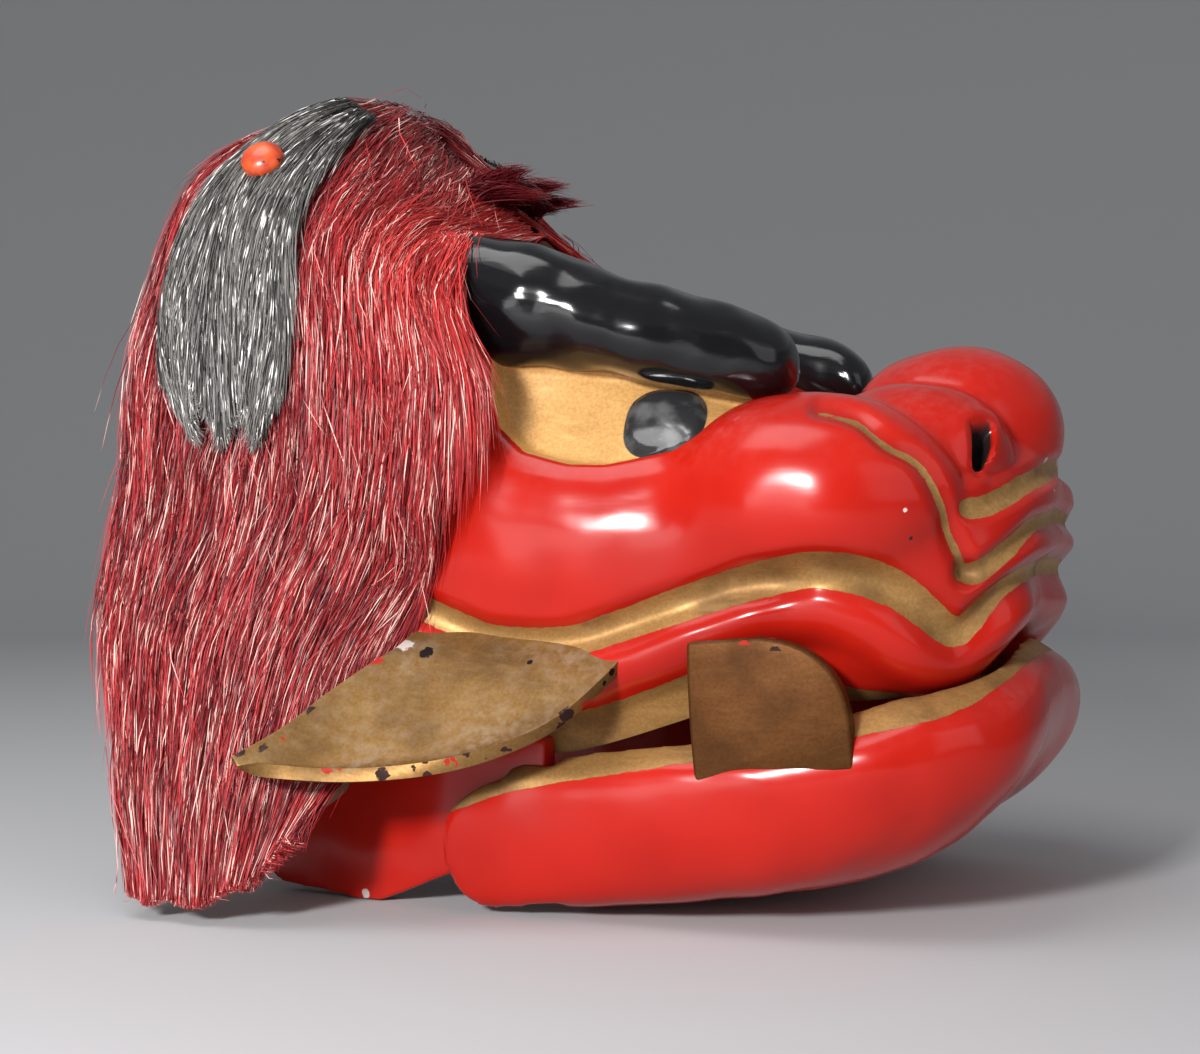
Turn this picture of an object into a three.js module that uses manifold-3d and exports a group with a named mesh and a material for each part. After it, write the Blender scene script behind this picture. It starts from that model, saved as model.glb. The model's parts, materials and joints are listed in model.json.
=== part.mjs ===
// Lion dance head: a hollow carved and lacquered head with a snapping lower jaw, black brows,
// gilt ears and tusks, and a dyed hide that hangs over the crown and both sides.
// Millimetres, +X towards the nose, +Y towards the lion's left, +Z up, standing on Z = 0.
import * as THREE from "three";
import { ParametricGeometry } from "three/addons/geometries/ParametricGeometry.js";
import { mergeGeometries, mergeVertices } from "three/addons/utils/BufferGeometryUtils.js";
import Module from "manifold-3d";

const wasm = await Module();
wasm.setup();

const { lerp, clamp, smoothstep } = THREE.MathUtils;

// Driving dimensions
const GAP = 0.3;
const HEAD = { rear: -112, wall: 14, frontWall: 18, columns: 50, rowsPerLevel: 2 };
const HOLLOW = { rows: 10, columns: 28, roofFrom: 0.55, drop: 40 };
const PIVOT = { x: 6, z: 24, radius: 5, clearance: 0.3, reach: 96.5 };
const PLATE = {
  inner: 83,
  outer: 92.5,
  lug: 14,
  lugFootX: -16,
  lugFootZ: 13,
  rear: -98,
  top: 70,
  frontTop: 62,
  heelTop: 14,
  heelLow: 3,
  heelFront: -84,
  soleRear: -60,
  soleFront: -46,
};
const JAW = {
  rear: -27,
  troughRear: -47,
  troughRows: 4,
  armInner: 93,
  floorRear: 24,
  columns: 32,
  endRadius: 23,
  shoulder: 40,
};
const JAW_ROOM = { front: 230, half: 120, low: -1, high: 130, gapLength: 80, gapLow: -20, gapHigh: 140 };
const NOSTRIL = { x: 162, y: 49, z: 163.5, width: 7.5, height: 17, depth: 60, turn: 25, lean: 8, segments: 5 };
const TUSK = { inner: 86.5, thickness: 9, bevel: 1.5, x: 103, turn: 6, clearance: 1, segments: 5 };
const TUSK_OUTLINE = {
  heel: { x: 77, z: 50 },
  toe: { x: 130, z: 58 },
  shoulder: { x: 129, z: 72 },
  shoulderPull: { x: 126, z: 99 },
  crown: { x: 98, z: 100 },
  back: { x: 74, z: 98 },
  backPull: { x: 74, z: 76 },
};
const TONGUE = { rear: 30, rearHalf: 34, wideX: 120, half: 44, pullX: 160, tip: 168, tipHalf: 20, sole: 4 };
const TONGUE_RISE = { low: 26, high: 48, fromX: 20, toX: 175, power: 1.4, segments: 8 };
const TACK = { row: 1.8, across: 0.68, radius: 8.2, height: 5, stem: 4, sides: 10, steps: 4 };
const ORIGIN_X = 13.6;

// Where the height columns of a level lie along it, from the rear to the middle of the front.
const STATIONS = { rear: 0, cheek: 0.37, arch: 0.6, corner: 0.78, front: 1 };
const CORNER_TURN = 0.72;

// Levels of the head from the mouth rim to the crown line: half width at the rear and at the muzzle,
// foremost X, superellipse power of the plan outline, and the height at each of the stations.
const HEAD_LEVELS = [
  { wide: 92, nose: 76, reach: 158, square: 4.0, rear: 46, cheek: 57, arch: 78, corner: 78, front: 97 },
  { wide: 92, nose: 79, reach: 161, square: 4.0, rear: 52, cheek: 64, arch: 85, corner: 80, front: 100 },
  { wide: 93, nose: 84, reach: 164, square: 4.0, rear: 64, cheek: 71, arch: 95, corner: 83, front: 103 },
  { wide: 95, nose: 91, reach: 171, square: 4.0, rear: 82, cheek: 85, arch: 108, corner: 91, front: 110 },
  { wide: 97, nose: 93, reach: 177, square: 4.0, rear: 104, cheek: 100, arch: 121, corner: 101, front: 119 },
  { wide: 98, nose: 96, reach: 182, square: 4.0, rear: 126, cheek: 115, arch: 134, corner: 117, front: 130 },
  { wide: 99, nose: 97, reach: 183, square: 3.9, rear: 148, cheek: 132, arch: 146, corner: 133, front: 140 },
  { wide: 99, nose: 94, reach: 183, square: 3.6, rear: 172, cheek: 147, arch: 157, corner: 147, front: 150 },
  { wide: 98, nose: 86, reach: 180, square: 3.2, rear: 196, cheek: 160, arch: 166, corner: 157, front: 159 },
  { wide: 96, nose: 74, reach: 176, square: 2.9, rear: 220, cheek: 177, arch: 174, corner: 166, front: 169 },
  { wide: 93, nose: 62, reach: 170, square: 2.7, rear: 244, cheek: 194, arch: 181, corner: 174, front: 180 },
  { wide: 85, nose: 50, reach: 161, square: 2.5, rear: 269, cheek: 212, arch: 190, corner: 180, front: 190 },
  { wide: 53, nose: 32, reach: 150, square: 2.2, rear: 295, cheek: 226, arch: 199, corner: 184, front: 195 },
  { wide: 0, nose: 0, reach: 140, square: 2.0, rear: 302, cheek: 231, arch: 204, corner: 186, front: 196 },
];

// Carved swells and hollows: an ellipsoid of influence at x, y, z and how far it lifts the surface.
const HEAD_SWELLS = [
  { swell: "nose bridge dip", x: 100, y: 0, z: 186, rx: 26, ry: 50, rz: 26, lift: -5 },
  { swell: "eye hollow", x: 34, y: 90, z: 180, rx: 66, ry: 40, rz: 28, lift: -4 },
  { swell: "rear cheek", x: 10, y: 98, z: 132, rx: 60, ry: 40, rz: 30, lift: 4 },
  { swell: "crown", x: -78, y: 0, z: 280, rx: 55, ry: 90, rz: 60, lift: 5 },
];

// Rounded lobes that stand out of the surface: centre, half axes and how softly each one blends in.
const HEAD_LOBES = [
  { lobe: "nose dome", x: 144, y: 0, z: 171, rx: 39, ry: 40, rz: 32, blend: 0.05 },
  { lobe: "nostril wing", x: 136, y: 38, z: 161, rx: 36, ry: 29, rz: 26, blend: 0.05 },
  { lobe: "cheek bulge", x: 106, y: 60, z: 146, rx: 55, ry: 41, rz: 37, blend: 0.14 },
];

// Carved lines on one side, as points along the unrolled surface and their heights: the gilt channel
// above the lip, the line between the cheek and the nose, and the two bands under the nostril.
const LIP_CHANNEL = [
  { along: -60, z: 122 },
  { along: -32, z: 109 },
  { along: -14, z: 101.5 },
  { along: 1, z: 97 },
  { along: 28, z: 96.5 },
  { along: 46, z: 101.5 },
  { along: 69, z: 109.5 },
  { along: 91, z: 116.7 },
  { along: 111, z: 121.5 },
  { along: 121, z: 122 },
  { along: 133, z: 120 },
  { along: 145, z: 115 },
  { along: 154, z: 108.5 },
  { along: 161, z: 103 },
  { along: 167, z: 101 },
  { along: 172, z: 104 },
  { along: 182, z: 113.5 },
  { along: 192, z: 118 },
  { along: 205, z: 120 },
  { along: 241, z: 121 },
];
const CHEEK_LINE = [
  { along: 104, z: 180 },
  { along: 118, z: 176.6 },
  { along: 131, z: 172.8 },
  { along: 140, z: 164.6 },
  { along: 149, z: 159 },
  { along: 155, z: 148.5 },
  { along: 161, z: 134 },
  { along: 168, z: 121 },
];
const LOWER_BAND = [
  { along: 167, z: 121 },
  { along: 172, z: 121.5 },
  { along: 185, z: 129.5 },
  { along: 196, z: 135.5 },
  { along: 206, z: 138 },
  { along: 241, z: 140.5 },
];
const UPPER_BAND = [
  { along: 168, z: 143 },
  { along: 176, z: 144 },
  { along: 190, z: 149 },
  { along: 204, z: 153 },
  { along: 241, z: 159 },
];
const CARVED_LINES = [
  { path: LIP_CHANNEL, width: 10, depth: 4.5 },
  { path: CHEEK_LINE, width: 6, depth: 3 },
  { path: LOWER_BAND, width: 7, depth: 3.5 },
  { path: UPPER_BAND, width: 6, depth: 2.5 },
];
const LIP_ROLL = { below: 14, width: 14, lift: 4, rearX: -30, fullX: 20 };

// Outline of one eye, sunk under the brow, with a raised lid round it.
const EYE_OUTLINE = [
  { along: -7, z: 201 },
  { along: -6, z: 183 },
  { along: -1, z: 171.5 },
  { along: 10, z: 162 },
  { along: 28, z: 157.5 },
  { along: 41, z: 157.3 },
  { along: 65, z: 162.2 },
  { along: 74, z: 168 },
  { along: 85, z: 180 },
  { along: 86, z: 187 },
  { along: 50, z: 197 },
];
const EYE = { depth: 7, slope: 5, lidWidth: 10, lidLift: 3, nearest: 50 };

// Places on the unrolled surface run straight along X, then round the muzzle.
const MUZZLE_TURN = { x: 100, radius: 90 };

// Levels of the lower jaw from its flat sole to its rim, with the same columns as the head's.
const JAW_LEVELS = [
  { wide: 97, nose: 58, reach: 74, square: 3.2, rear: 0, cheek: 0, arch: 0, corner: 0, front: 0 },
  { wide: 99, nose: 80, reach: 132, square: 3.6, rear: 3, cheek: 7, arch: 10, corner: 13, front: 20 },
  { wide: 100, nose: 91, reach: 160, square: 4.0, rear: 11, cheek: 17, arch: 22, corner: 27, front: 37 },
  { wide: 101, nose: 97, reach: 178, square: 4.3, rear: 22, cheek: 32, arch: 38, corner: 45, front: 60 },
  { wide: 101, nose: 99, reach: 184, square: 4.4, rear: 33, cheek: 47, arch: 54, corner: 61, front: 76 },
  { wide: 100, nose: 98, reach: 182, square: 4.4, rear: 42, cheek: 54, arch: 63, corner: 73, front: 87 },
  { wide: 98, nose: 94, reach: 177, square: 4.4, rear: 46, cheek: 58, arch: 68, corner: 78, front: 92 },
  { wide: 90, nose: 87, reach: 170, square: 4.4, rear: 50, cheek: 63, arch: 74, corner: 83, front: 97 },
];
const TROUGH_LEVELS = [
  { wide: 70, nose: 60, reach: 120, square: 3.0, rear: 9, cheek: 14, arch: 19, corner: 24, front: 34 },
  { wide: 86, nose: 82, reach: 162, square: 3.8, rear: 24, cheek: 34, arch: 40, corner: 48, front: 62 },
  { wide: 88, nose: 85, reach: 168, square: 4.4, rear: 60, cheek: 75, arch: 86, corner: 97, front: 110 },
];

// Stations of one brow, from under the hide to its blunt front end.
const BROW_STATIONS = [
  { x: -50, y: 74, z: 226, high: 20, deep: 16 },
  { x: -18, y: 74, z: 219, high: 25, deep: 20 },
  { x: 14, y: 71, z: 213, high: 24, deep: 21 },
  { x: 44, y: 65, z: 205, high: 20, deep: 19 },
  { x: 70, y: 59, z: 200, high: 18, deep: 17 },
  { x: 99, y: 51, z: 193, high: 15, deep: 15 },
];
const BROW = { lump: 0.04, lumps: 3.5, blunt: 5, sides: 9, steps: 11 };

// Edges of one ear from its root to its tip, and how deep its face is dished.
const EAR_STATIONS = [
  { at: "root", frontX: 50, frontY: 84, frontZ: 94, rearX: -32, rearY: 86, rearZ: 102, dish: 0 },
  { at: "neck", frontX: 46, frontY: 99, frontZ: 84, rearX: -32, rearY: 100, rearZ: 94, dish: 3 },
  { at: "blade", frontX: 30, frontY: 114, frontZ: 68, rearX: -40, rearY: 110, rearZ: 87, dish: 7 },
  { at: "middle", frontX: 2, frontY: 127, frontZ: 57, rearX: -50, rearY: 124, rearZ: 77, dish: 8 },
  { at: "shoulder", frontX: -32, frontY: 140, frontZ: 53, rearX: -58, rearY: 138, rearZ: 67, dish: 5 },
  { at: "tip", frontX: -66, frontY: 152, frontZ: 55, rearX: -69, rearY: 152, rearZ: 58, dish: 0 },
];
const EAR = { thickness: 5, edge: 2.4, across: 5, along: 9 };

// Sections of the hide from the crown line down one side. y is its distance from the middle, and
// the other columns are the X and Z of its front and rear edges.
const MANE_SECTIONS = [
  { at: "crown", y: 0, frontX: -26, rearX: -124, frontZ: 254, rearZ: 302, swell: 20 },
  { at: "shoulder", y: 50, frontX: -24, rearX: -126, frontZ: 241, rearZ: 294, swell: 20 },
  { at: "temple", y: 92, frontX: -26, rearX: -134, frontZ: 224, rearZ: 262, swell: 8 },
  { at: "eye", y: 102, frontX: -12, rearX: -144, frontZ: 186, rearZ: 206, swell: 0 },
  { at: "cheek", y: 104, frontX: -16, rearX: -148, frontZ: 136, rearZ: 150, swell: 0 },
  { at: "jowl", y: 114, frontX: -36, rearX: -152, frontZ: 90, rearZ: 96, swell: 0 },
  { at: "tail", y: 132, frontX: -46, rearX: -136, frontZ: 42, rearZ: 46, swell: 0 },
  { at: "tip", y: 148, frontX: -56, rearX: -118, frontZ: 2.5, rearZ: 3, swell: 0 },
];
const MANE = {
  backing: 4,
  sunk: 8,
  around: 20,
  across: 3,
  endRow: 6.55,
  clearance: 1.8,
  cutColumns: 24,
  cutRows: 2,
  crestBack: 1.4,
};

// Tiers of locks on each half of the hide: the rows that a lock runs between and its half sizes.
const LOCK_TIERS = [
  { tier: "crest", count: 3, from: 0.2, to: 2.7, wide: 20, thick: 11, stagger: 0.15 },
  { tier: "fall", count: 4, from: 1.9, to: 5.0, wide: 20, thick: 11, stagger: 0.3 },
  { tier: "tail", count: 4, from: 4.1, to: 7, wide: 17, thick: 11, stagger: 0.4 },
];
const LOCK = { sides: 5, steps: 4, fullest: 0.45, sway: 0.05 };

// Spikes of the hide's ragged front edge on the forehead: place across, forward reach and rise.
const FORELOCKS = [
  { y: -30, reach: 14, rise: 4 },
  { y: -4, reach: 18, rise: 16 },
  { y: 26, reach: 16, rise: 8 },
];
const FORELOCK = { radius: 15, length: 40, lift: -4, across: 0.1, sides: 6, broad: 1.3, flat: 0.7, back: 12 };

// The dark hair patch under each tack: a thin fan over the hide, cut into points at its lower edge.
const PATCH = {
  from: 0.95,
  to: 3.6,
  lift: 9,
  thick: 3,
  top: 0.6,
  end: 0.655,
  bow: 0.07,
  narrow: 0.06,
  wide: 0.16,
  bulge: 0.125,
  points: 3,
  notch: 0.3,
  rowPerGap: 0.05,
  acrossPerGap: 0.015,
};

const COLOURS = {
  lacquer: 0xc9190f,
  black: 0x0b0b0c,
  gilt: 0xa8843a,
  tongue: 0xc8323c,
  wood: 0x8a6238,
  mane: 0x6d0f1c,
  patch: 0x3a3938,
  tack: 0xd2401f,
};

// Value of one column of a table at a fractional row, on a Catmull-Rom curve through its rows.
function column(table, name, row) {
  const last = table.length - 1;
  const i = clamp(Math.floor(row), 0, last - 1);
  const [a, b, c, d] = [i - 1, i, i + 1, i + 2].map((k) => table[clamp(k, 0, last)][name]);
  const t = row - i;
  const slopeB = (c - a) / 2;
  const slopeC = (d - b) / 2;
  const bend = (2 * (b - c) + slopeB + slopeC) * t ** 3 + (3 * (c - b) - 2 * slopeB - slopeC) * t ** 2;
  return bend + slopeB * t + b;
}

// Smooth height along a level, through all its stations and level at the middle of the front.
function heightAlong(levels, row, u) {
  const names = Object.keys(STATIONS);
  const places = Object.values(STATIONS);
  const heights = names.map((name) => column(levels, name, row));
  const last = places.length - 1;
  const i = Math.min(places.findLastIndex((place) => place <= u), last - 1);
  const rise = (k) => (heights[k + 1] - heights[k]) / (places[k + 1] - places[k]);
  const slope = (k) => (k === last ? 0 : k === 0 ? rise(0) : (rise(k - 1) + rise(k)) / 2);
  const span = places[i + 1] - places[i];
  const t = (u - places[i]) / span;
  const ease = t * t * (3 - 2 * t);
  const lead = slope(i) * span * t * (1 - t) ** 2 - slope(i + 1) * span * t ** 2 * (1 - t);
  return lerp(heights[i], heights[i + 1], ease) + lead;
}

// Point of a lofted half at u (0 rear, 1 middle of the front) and a fractional level, with y positive.
function loftPoint(levels, rear, u, row, inset = 0, frontInset = inset) {
  const turn = u < CORNER_TURN
    ? Math.atan(u / CORNER_TURN)
    : Math.PI / 2 - Math.atan((1 - u) / (1 - CORNER_TURN));
  const power = column(levels, "square", row);
  const norm = (Math.sin(turn) ** power + Math.abs(Math.cos(turn)) ** power) ** (1 / power);
  const forward = Math.sin(turn) / norm;
  const across = Math.max(0, Math.cos(turn)) / norm;
  const reach = column(levels, "reach", row) - frontInset;
  const taper = smoothstep(forward, 0, 1);
  const width = lerp(column(levels, "wide", row), column(levels, "nose", row), taper);
  return new THREE.Vector3(
    lerp(rear, reach, forward),
    u === 1 ? 0 : Math.max(0, width - inset) * across,
    heightAlong(levels, row, u),
  );
}

// Outward normal of a surface given as a function of two parameters, by small steps inside its range.
function normalOf(surface, u, row, lastRow, du = 0.004, dRow = 0.03) {
  const along = surface(Math.min(1, u + du), row).sub(surface(Math.max(0, u - du), row));
  const up = surface(u, Math.min(lastRow, row + dRow)).sub(surface(u, Math.max(0, row - dRow)));
  const normal = up.cross(along);
  if (normal.lengthSq() < 1e-9) return normalOf(surface, u - 5 * du, row - 5 * dRow, lastRow);
  return normal.normalize();
}

function unrolled(p) {
  if (p.x < MUZZLE_TURN.x) return p.x;
  return MUZZLE_TURN.x + MUZZLE_TURN.radius * Math.atan2(p.x - MUZZLE_TURN.x, p.y);
}

// Distance from a point to a line of segments, and whether the point lies below it.
function nearestOnPath(path, at) {
  const near = new THREE.Vector3();
  let best = { distance: Infinity, below: false };
  for (let i = 0; i + 1 < path.length; i++) {
    const [start, end] = [path[i], path[i + 1]];
    new THREE.Line3(start, end).closestPointToPoint(at, true, near);
    const distance = near.distanceTo(at);
    const below = (end.y - start.y) * (at.x - start.x) > (end.x - start.x) * (at.y - start.y);
    if (distance < best.distance) best = { distance, below };
  }
  return best;
}

const flat = (p) => new THREE.Vector3(unrolled(p), p.z, 0);
const drawn = (row) => new THREE.Vector3(row.along, row.z, 0);
const FLAT_LINES = CARVED_LINES.map((line) => ({ ...line, path: line.path.map(drawn) }));
const FLAT_EYE = EYE_OUTLINE.map(drawn);

// Distance inside the eye's outline, negative outside it.
function insideEye(at) {
  let inside = false;
  FLAT_EYE.forEach((a, i) => {
    const b = FLAT_EYE[(i + 1) % FLAT_EYE.length];
    const crosses = a.y > at.y !== b.y > at.y;
    if (crosses && at.x < lerp(a.x, b.x, (at.y - a.y) / (b.y - a.y))) inside = !inside;
  });
  const { distance } = nearestOnPath([...FLAT_EYE, FLAT_EYE[0]], at);
  return inside ? distance : -distance;
}

const bell = (r) => (Math.abs(r) < 1 ? (1 - r * r) ** 2 : 0);

function smoothMax(a, b, blend) {
  const share = clamp(0.5 + (a - b) / (2 * blend), 0, 1);
  return lerp(b, a, share) + blend * share * (1 - share);
}

// Moves a point that lies inside a lobe out to the lobe's surface.
function pushOut(lobe, p) {
  const centre = new THREE.Vector3(lobe.x, lobe.y, lobe.z);
  const from = p.clone().sub(centre);
  const inside = Math.hypot(from.x / lobe.rx, from.y / lobe.ry, from.z / lobe.rz);
  p.copy(centre).addScaledVector(from, smoothMax(1, 1 / inside, lobe.blend));
}

// How far the swells lift the surface at a point.
function swellLift(p) {
  let lift = 0;
  for (const s of HEAD_SWELLS) {
    const r = Math.hypot((p.x - s.x) / s.rx, (p.y - s.y) / s.ry, (p.z - s.z) / s.rz);
    lift += s.lift * bell(r);
  }
  return lift;
}

// How far the carved lines, the lip's roll and the eye lift the surface at a point.
function carvedLift(p) {
  let lift = 0;
  const at = flat(p);
  for (const line of FLAT_LINES) {
    const near = nearestOnPath(line.path, at);
    lift -= line.depth * bell(near.distance / line.width);
    if (line !== FLAT_LINES[0] || !near.below) continue;
    const roll = bell((near.distance - LIP_ROLL.below) / LIP_ROLL.width);
    lift += LIP_ROLL.lift * roll * smoothstep(p.x, LIP_ROLL.rearX, LIP_ROLL.fullX);
  }
  if (p.y > EYE.nearest) {
    const depth = insideEye(at);
    lift -= EYE.depth * smoothstep(depth, 0, EYE.slope);
    lift += EYE.lidLift * bell((depth + EYE.lidWidth / 2) / EYE.lidWidth);
  }
  return lift;
}

const HEAD_TOP = HEAD_LEVELS.length - 1;
const headBase = (u, row) => loftPoint(HEAD_LEVELS, HEAD.rear, u, row);

// Point of the carved head, grown by `grow` along its normal, with y positive.
function headPoint(u, row, grow) {
  const p = headBase(u, row);
  const normal = normalOf(headBase, u, row, HEAD_TOP);
  const onMiddle = p.y === 0;
  p.addScaledVector(normal, swellLift(p));
  HEAD_LOBES.forEach((lobe) => pushOut(lobe, p));
  p.addScaledVector(normal, carvedLift(p) + grow);
  if (onMiddle) p.y = 0;
  if (u === 0) p.x = HEAD.rear - grow;
  return p;
}

// A grid of points as a geometry; place(a, b) gives the point at a, b from 0 to 1.
function patch(place, slices, stacks) {
  const geometry = new ParametricGeometry((a, b, target) => target.copy(place(a, b)), slices, stacks);
  geometry.deleteAttribute("normal");
  geometry.deleteAttribute("uv");
  return geometry;
}

// A solid from patches or geometries that together close a body.
function solidOf(...geometries) {
  const bare = geometries.map((geometry) => {
    const loose = geometry.index ? geometry.toNonIndexed() : geometry.clone();
    loose.deleteAttribute("normal");
    loose.deleteAttribute("uv");
    return loose;
  });
  const merged = mergeVertices(mergeGeometries(bare), 1e-3);
  const index = merged.index.array;
  const triVerts = [];
  for (let i = 0; i < index.length; i += 3) {
    const [a, b, c] = [index[i], index[i + 1], index[i + 2]];
    if (a !== b && b !== c && a !== c) triVerts.push(a, b, c);
  }
  return new wasm.Manifold(
    new wasm.Mesh({
      numProp: 3,
      vertProperties: merged.attributes.position.array,
      triVerts: new Uint32Array(triVerts),
    }),
  );
}

function geometryOf(solid) {
  const mesh = solid.getMesh();
  const geometry = new THREE.BufferGeometry();
  geometry.setAttribute("position", new THREE.BufferAttribute(mesh.vertProperties, 3));
  geometry.setIndex(new THREE.BufferAttribute(mesh.triVerts, 1));
  return geometry;
}

const mirrored = (p, sign) => new THREE.Vector3(p.x, sign * p.y, p.z);

// A geometry on the other side of the middle, with its faces still pointing out.
function mirrorImage(geometry) {
  const image = geometry.clone();
  image.scale(1, -1, 1);
  const index = image.index.array;
  for (let i = 0; i < index.length; i += 3) {
    [index[i], index[i + 1]] = [index[i + 1], index[i]];
  }
  return image;
}

// A loft closed across the middle: its skin, and flat spans between both sides below and behind it.
function closedLoft(point, topRow, columns, rows) {
  const skin = patch((a, b) => mirrored(point(a, b * topRow), -1), columns / 2, rows);
  const span = (p, b) => new THREE.Vector3(p.x, lerp(-p.y, p.y, b), p.z);
  const under = patch((a, b) => span(point(a, 0), 1 - b), columns / 2, 1);
  const behind = patch((a, b) => span(point(0, a * topRow), b), rows, 1);
  const faces = [skin, mirrorImage(skin), under, behind];
  if (point(0.5, topRow).y > 0) faces.push(patch((a, b) => span(point(a, topRow), b), columns / 2, 1));
  return solidOf(...faces);
}

// A prism of an outline drawn in X and Z, between two distances from the middle on the right side.
function sidePrism(outline, inner, outer) {
  const geometry = new THREE.ExtrudeGeometry(outline, { depth: outer - inner, bevelEnabled: false });
  geometry.rotateX(Math.PI / 2);
  geometry.translate(0, -inner, 0);
  return solidOf(geometry);
}

// A solid on the right side together with its mirror image on the left.
function bothSides(rightSolid) {
  return rightSolid.add(solidOf(mirrorImage(geometryOf(rightSolid))));
}

function rodAcross(radius, halfLength, sides = 16) {
  const rod = new THREE.CylinderGeometry(radius, radius, 2 * halfLength, sides);
  rod.translate(PIVOT.x, 0, PIVOT.z);
  return solidOf(rod);
}

// Head: carved outside, hollow inside, open behind and below, with cheek plates that carry the jaw.
function headOutside(grow = 0, columns = HEAD.columns, rowsPerLevel = HEAD.rowsPerLevel) {
  const point = (u, row) => headPoint(u, row, grow);
  return closedLoft(point, HEAD_TOP, columns, rowsPerLevel * HEAD_TOP);
}

function headHollow() {
  const point = (u, row) => {
    const level = Math.max(0, row - 1) * (HEAD_TOP / (HOLLOW.rows - 1));
    const p = loftPoint(HEAD_LEVELS, HEAD.rear - HEAD.wall, u, level, HEAD.wall, HEAD.frontWall);
    const roof = HEAD.wall * smoothstep(level / HEAD_TOP, HOLLOW.roofFrom, 1);
    p.z = row < 1 ? -HOLLOW.drop : p.z - roof;
    return p;
  };
  return closedLoft(point, HOLLOW.rows, HOLLOW.columns, HOLLOW.rows);
}

function nostrilSlot() {
  const outline = new THREE.Shape();
  outline.absellipse(0, 0, NOSTRIL.width / 2, NOSTRIL.height / 2, 0, 2 * Math.PI);
  const slot = new THREE.ExtrudeGeometry(outline, {
    depth: NOSTRIL.depth,
    bevelEnabled: false,
    curveSegments: NOSTRIL.segments,
  });
  slot.translate(0, 0, -NOSTRIL.depth / 2);
  slot.rotateZ(THREE.MathUtils.degToRad(NOSTRIL.lean));
  slot.rotateX(Math.PI / 2);
  slot.rotateZ(THREE.MathUtils.degToRad(NOSTRIL.turn));
  slot.translate(NOSTRIL.x, -NOSTRIL.y, NOSTRIL.z);
  return solidOf(slot);
}

function cheekPlate() {
  const outline = new THREE.Shape();
  outline.moveTo(PLATE.rear, PLATE.top);
  outline.lineTo(PLATE.rear, PLATE.heelTop);
  outline.quadraticCurveTo(PLATE.rear + 2, PLATE.heelLow + 2, PLATE.heelFront, PLATE.heelLow);
  outline.lineTo(PLATE.soleRear, 0);
  outline.lineTo(PLATE.soleFront, 0);
  outline.lineTo(PLATE.lugFootX, PLATE.lugFootZ);
  outline.absarc(PIVOT.x, PIVOT.z, PLATE.lug, -Math.PI * 0.75, 0, false);
  outline.lineTo(PIVOT.x + PLATE.lug, PLATE.frontTop);
  outline.lineTo(0, PLATE.top);
  return sidePrism(outline, PLATE.inner, PLATE.outer);
}

function headShell() {
  return headOutside()
    .subtract(headHollow())
    .add(bothSides(cheekPlate()))
    .subtract(bothSides(nostrilSlot()))
    .subtract(rodAcross(PIVOT.radius + PIVOT.clearance, PIVOT.reach + 5));
}

// Lower jaw: a trough with a round-ended arm outside each cheek plate, bored from inside.
function jawEnds() {
  const outline = new THREE.Shape();
  outline.moveTo(PIVOT.x, JAW_ROOM.low);
  outline.lineTo(JAW_ROOM.front, JAW_ROOM.low);
  outline.lineTo(JAW_ROOM.front, JAW_ROOM.high);
  outline.lineTo(JAW.shoulder, JAW_ROOM.high);
  outline.lineTo(PIVOT.x, PIVOT.z + JAW.endRadius);
  outline.absarc(PIVOT.x, PIVOT.z, JAW.endRadius, Math.PI / 2, 1.5 * Math.PI, false);
  return sidePrism(outline, -JAW_ROOM.half, JAW_ROOM.half);
}

function jawTrough(inset = 0) {
  const point = (u, row) => {
    const p = loftPoint(TROUGH_LEVELS, JAW.troughRear, u, row, inset);
    p.z += inset;
    return p;
  };
  return closedLoft(point, TROUGH_LEVELS.length - 1, JAW.columns, JAW.troughRows);
}

function lowerJaw(grow = 0) {
  const last = JAW_LEVELS.length - 1;
  const point = (u, row) => {
    const p = loftPoint(JAW_LEVELS, JAW.rear, u, row, -grow);
    p.z += grow * lerp(-1, 1, row / last);
    return p;
  };
  const outside = closedLoft(point, last, JAW.columns, last);
  const gapHeight = JAW_ROOM.gapHigh - JAW_ROOM.gapLow;
  const behindFloor = new THREE.BoxGeometry(JAW_ROOM.gapLength, 2 * JAW.armInner, gapHeight);
  behindFloor.translate(JAW.floorRear - JAW_ROOM.gapLength / 2, 0, (JAW_ROOM.gapLow + JAW_ROOM.gapHigh) / 2);
  return outside
    .intersect(jawEnds())
    .subtract(jawTrough(grow))
    .subtract(solidOf(behindFloor))
    .subtract(rodAcross(PIVOT.radius + PIVOT.clearance, PIVOT.reach + PIVOT.clearance));
}

function tuskBlock() {
  const outline = new THREE.Shape();
  const { heel, toe, shoulder, shoulderPull, crown, back, backPull } = TUSK_OUTLINE;
  outline.moveTo(heel.x, heel.z);
  outline.lineTo(toe.x, toe.z);
  outline.lineTo(shoulder.x, shoulder.z);
  outline.quadraticCurveTo(shoulderPull.x, shoulderPull.z, crown.x, crown.z);
  outline.lineTo(back.x, back.z);
  outline.quadraticCurveTo(backPull.x, backPull.z, heel.x, heel.z);
  const geometry = new THREE.ExtrudeGeometry(outline, {
    depth: TUSK.thickness - 2 * TUSK.bevel,
    bevelEnabled: true,
    bevelThickness: TUSK.bevel,
    bevelSize: TUSK.bevel,
    bevelOffset: -TUSK.bevel,
    bevelSegments: 1,
    curveSegments: TUSK.segments,
  });
  geometry.rotateX(Math.PI / 2);
  geometry.translate(-TUSK.x, -TUSK.bevel, 0);
  geometry.rotateZ(THREE.MathUtils.degToRad(TUSK.turn));
  geometry.translate(TUSK.x, -TUSK.inner, 0);
  return solidOf(geometry);
}

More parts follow.
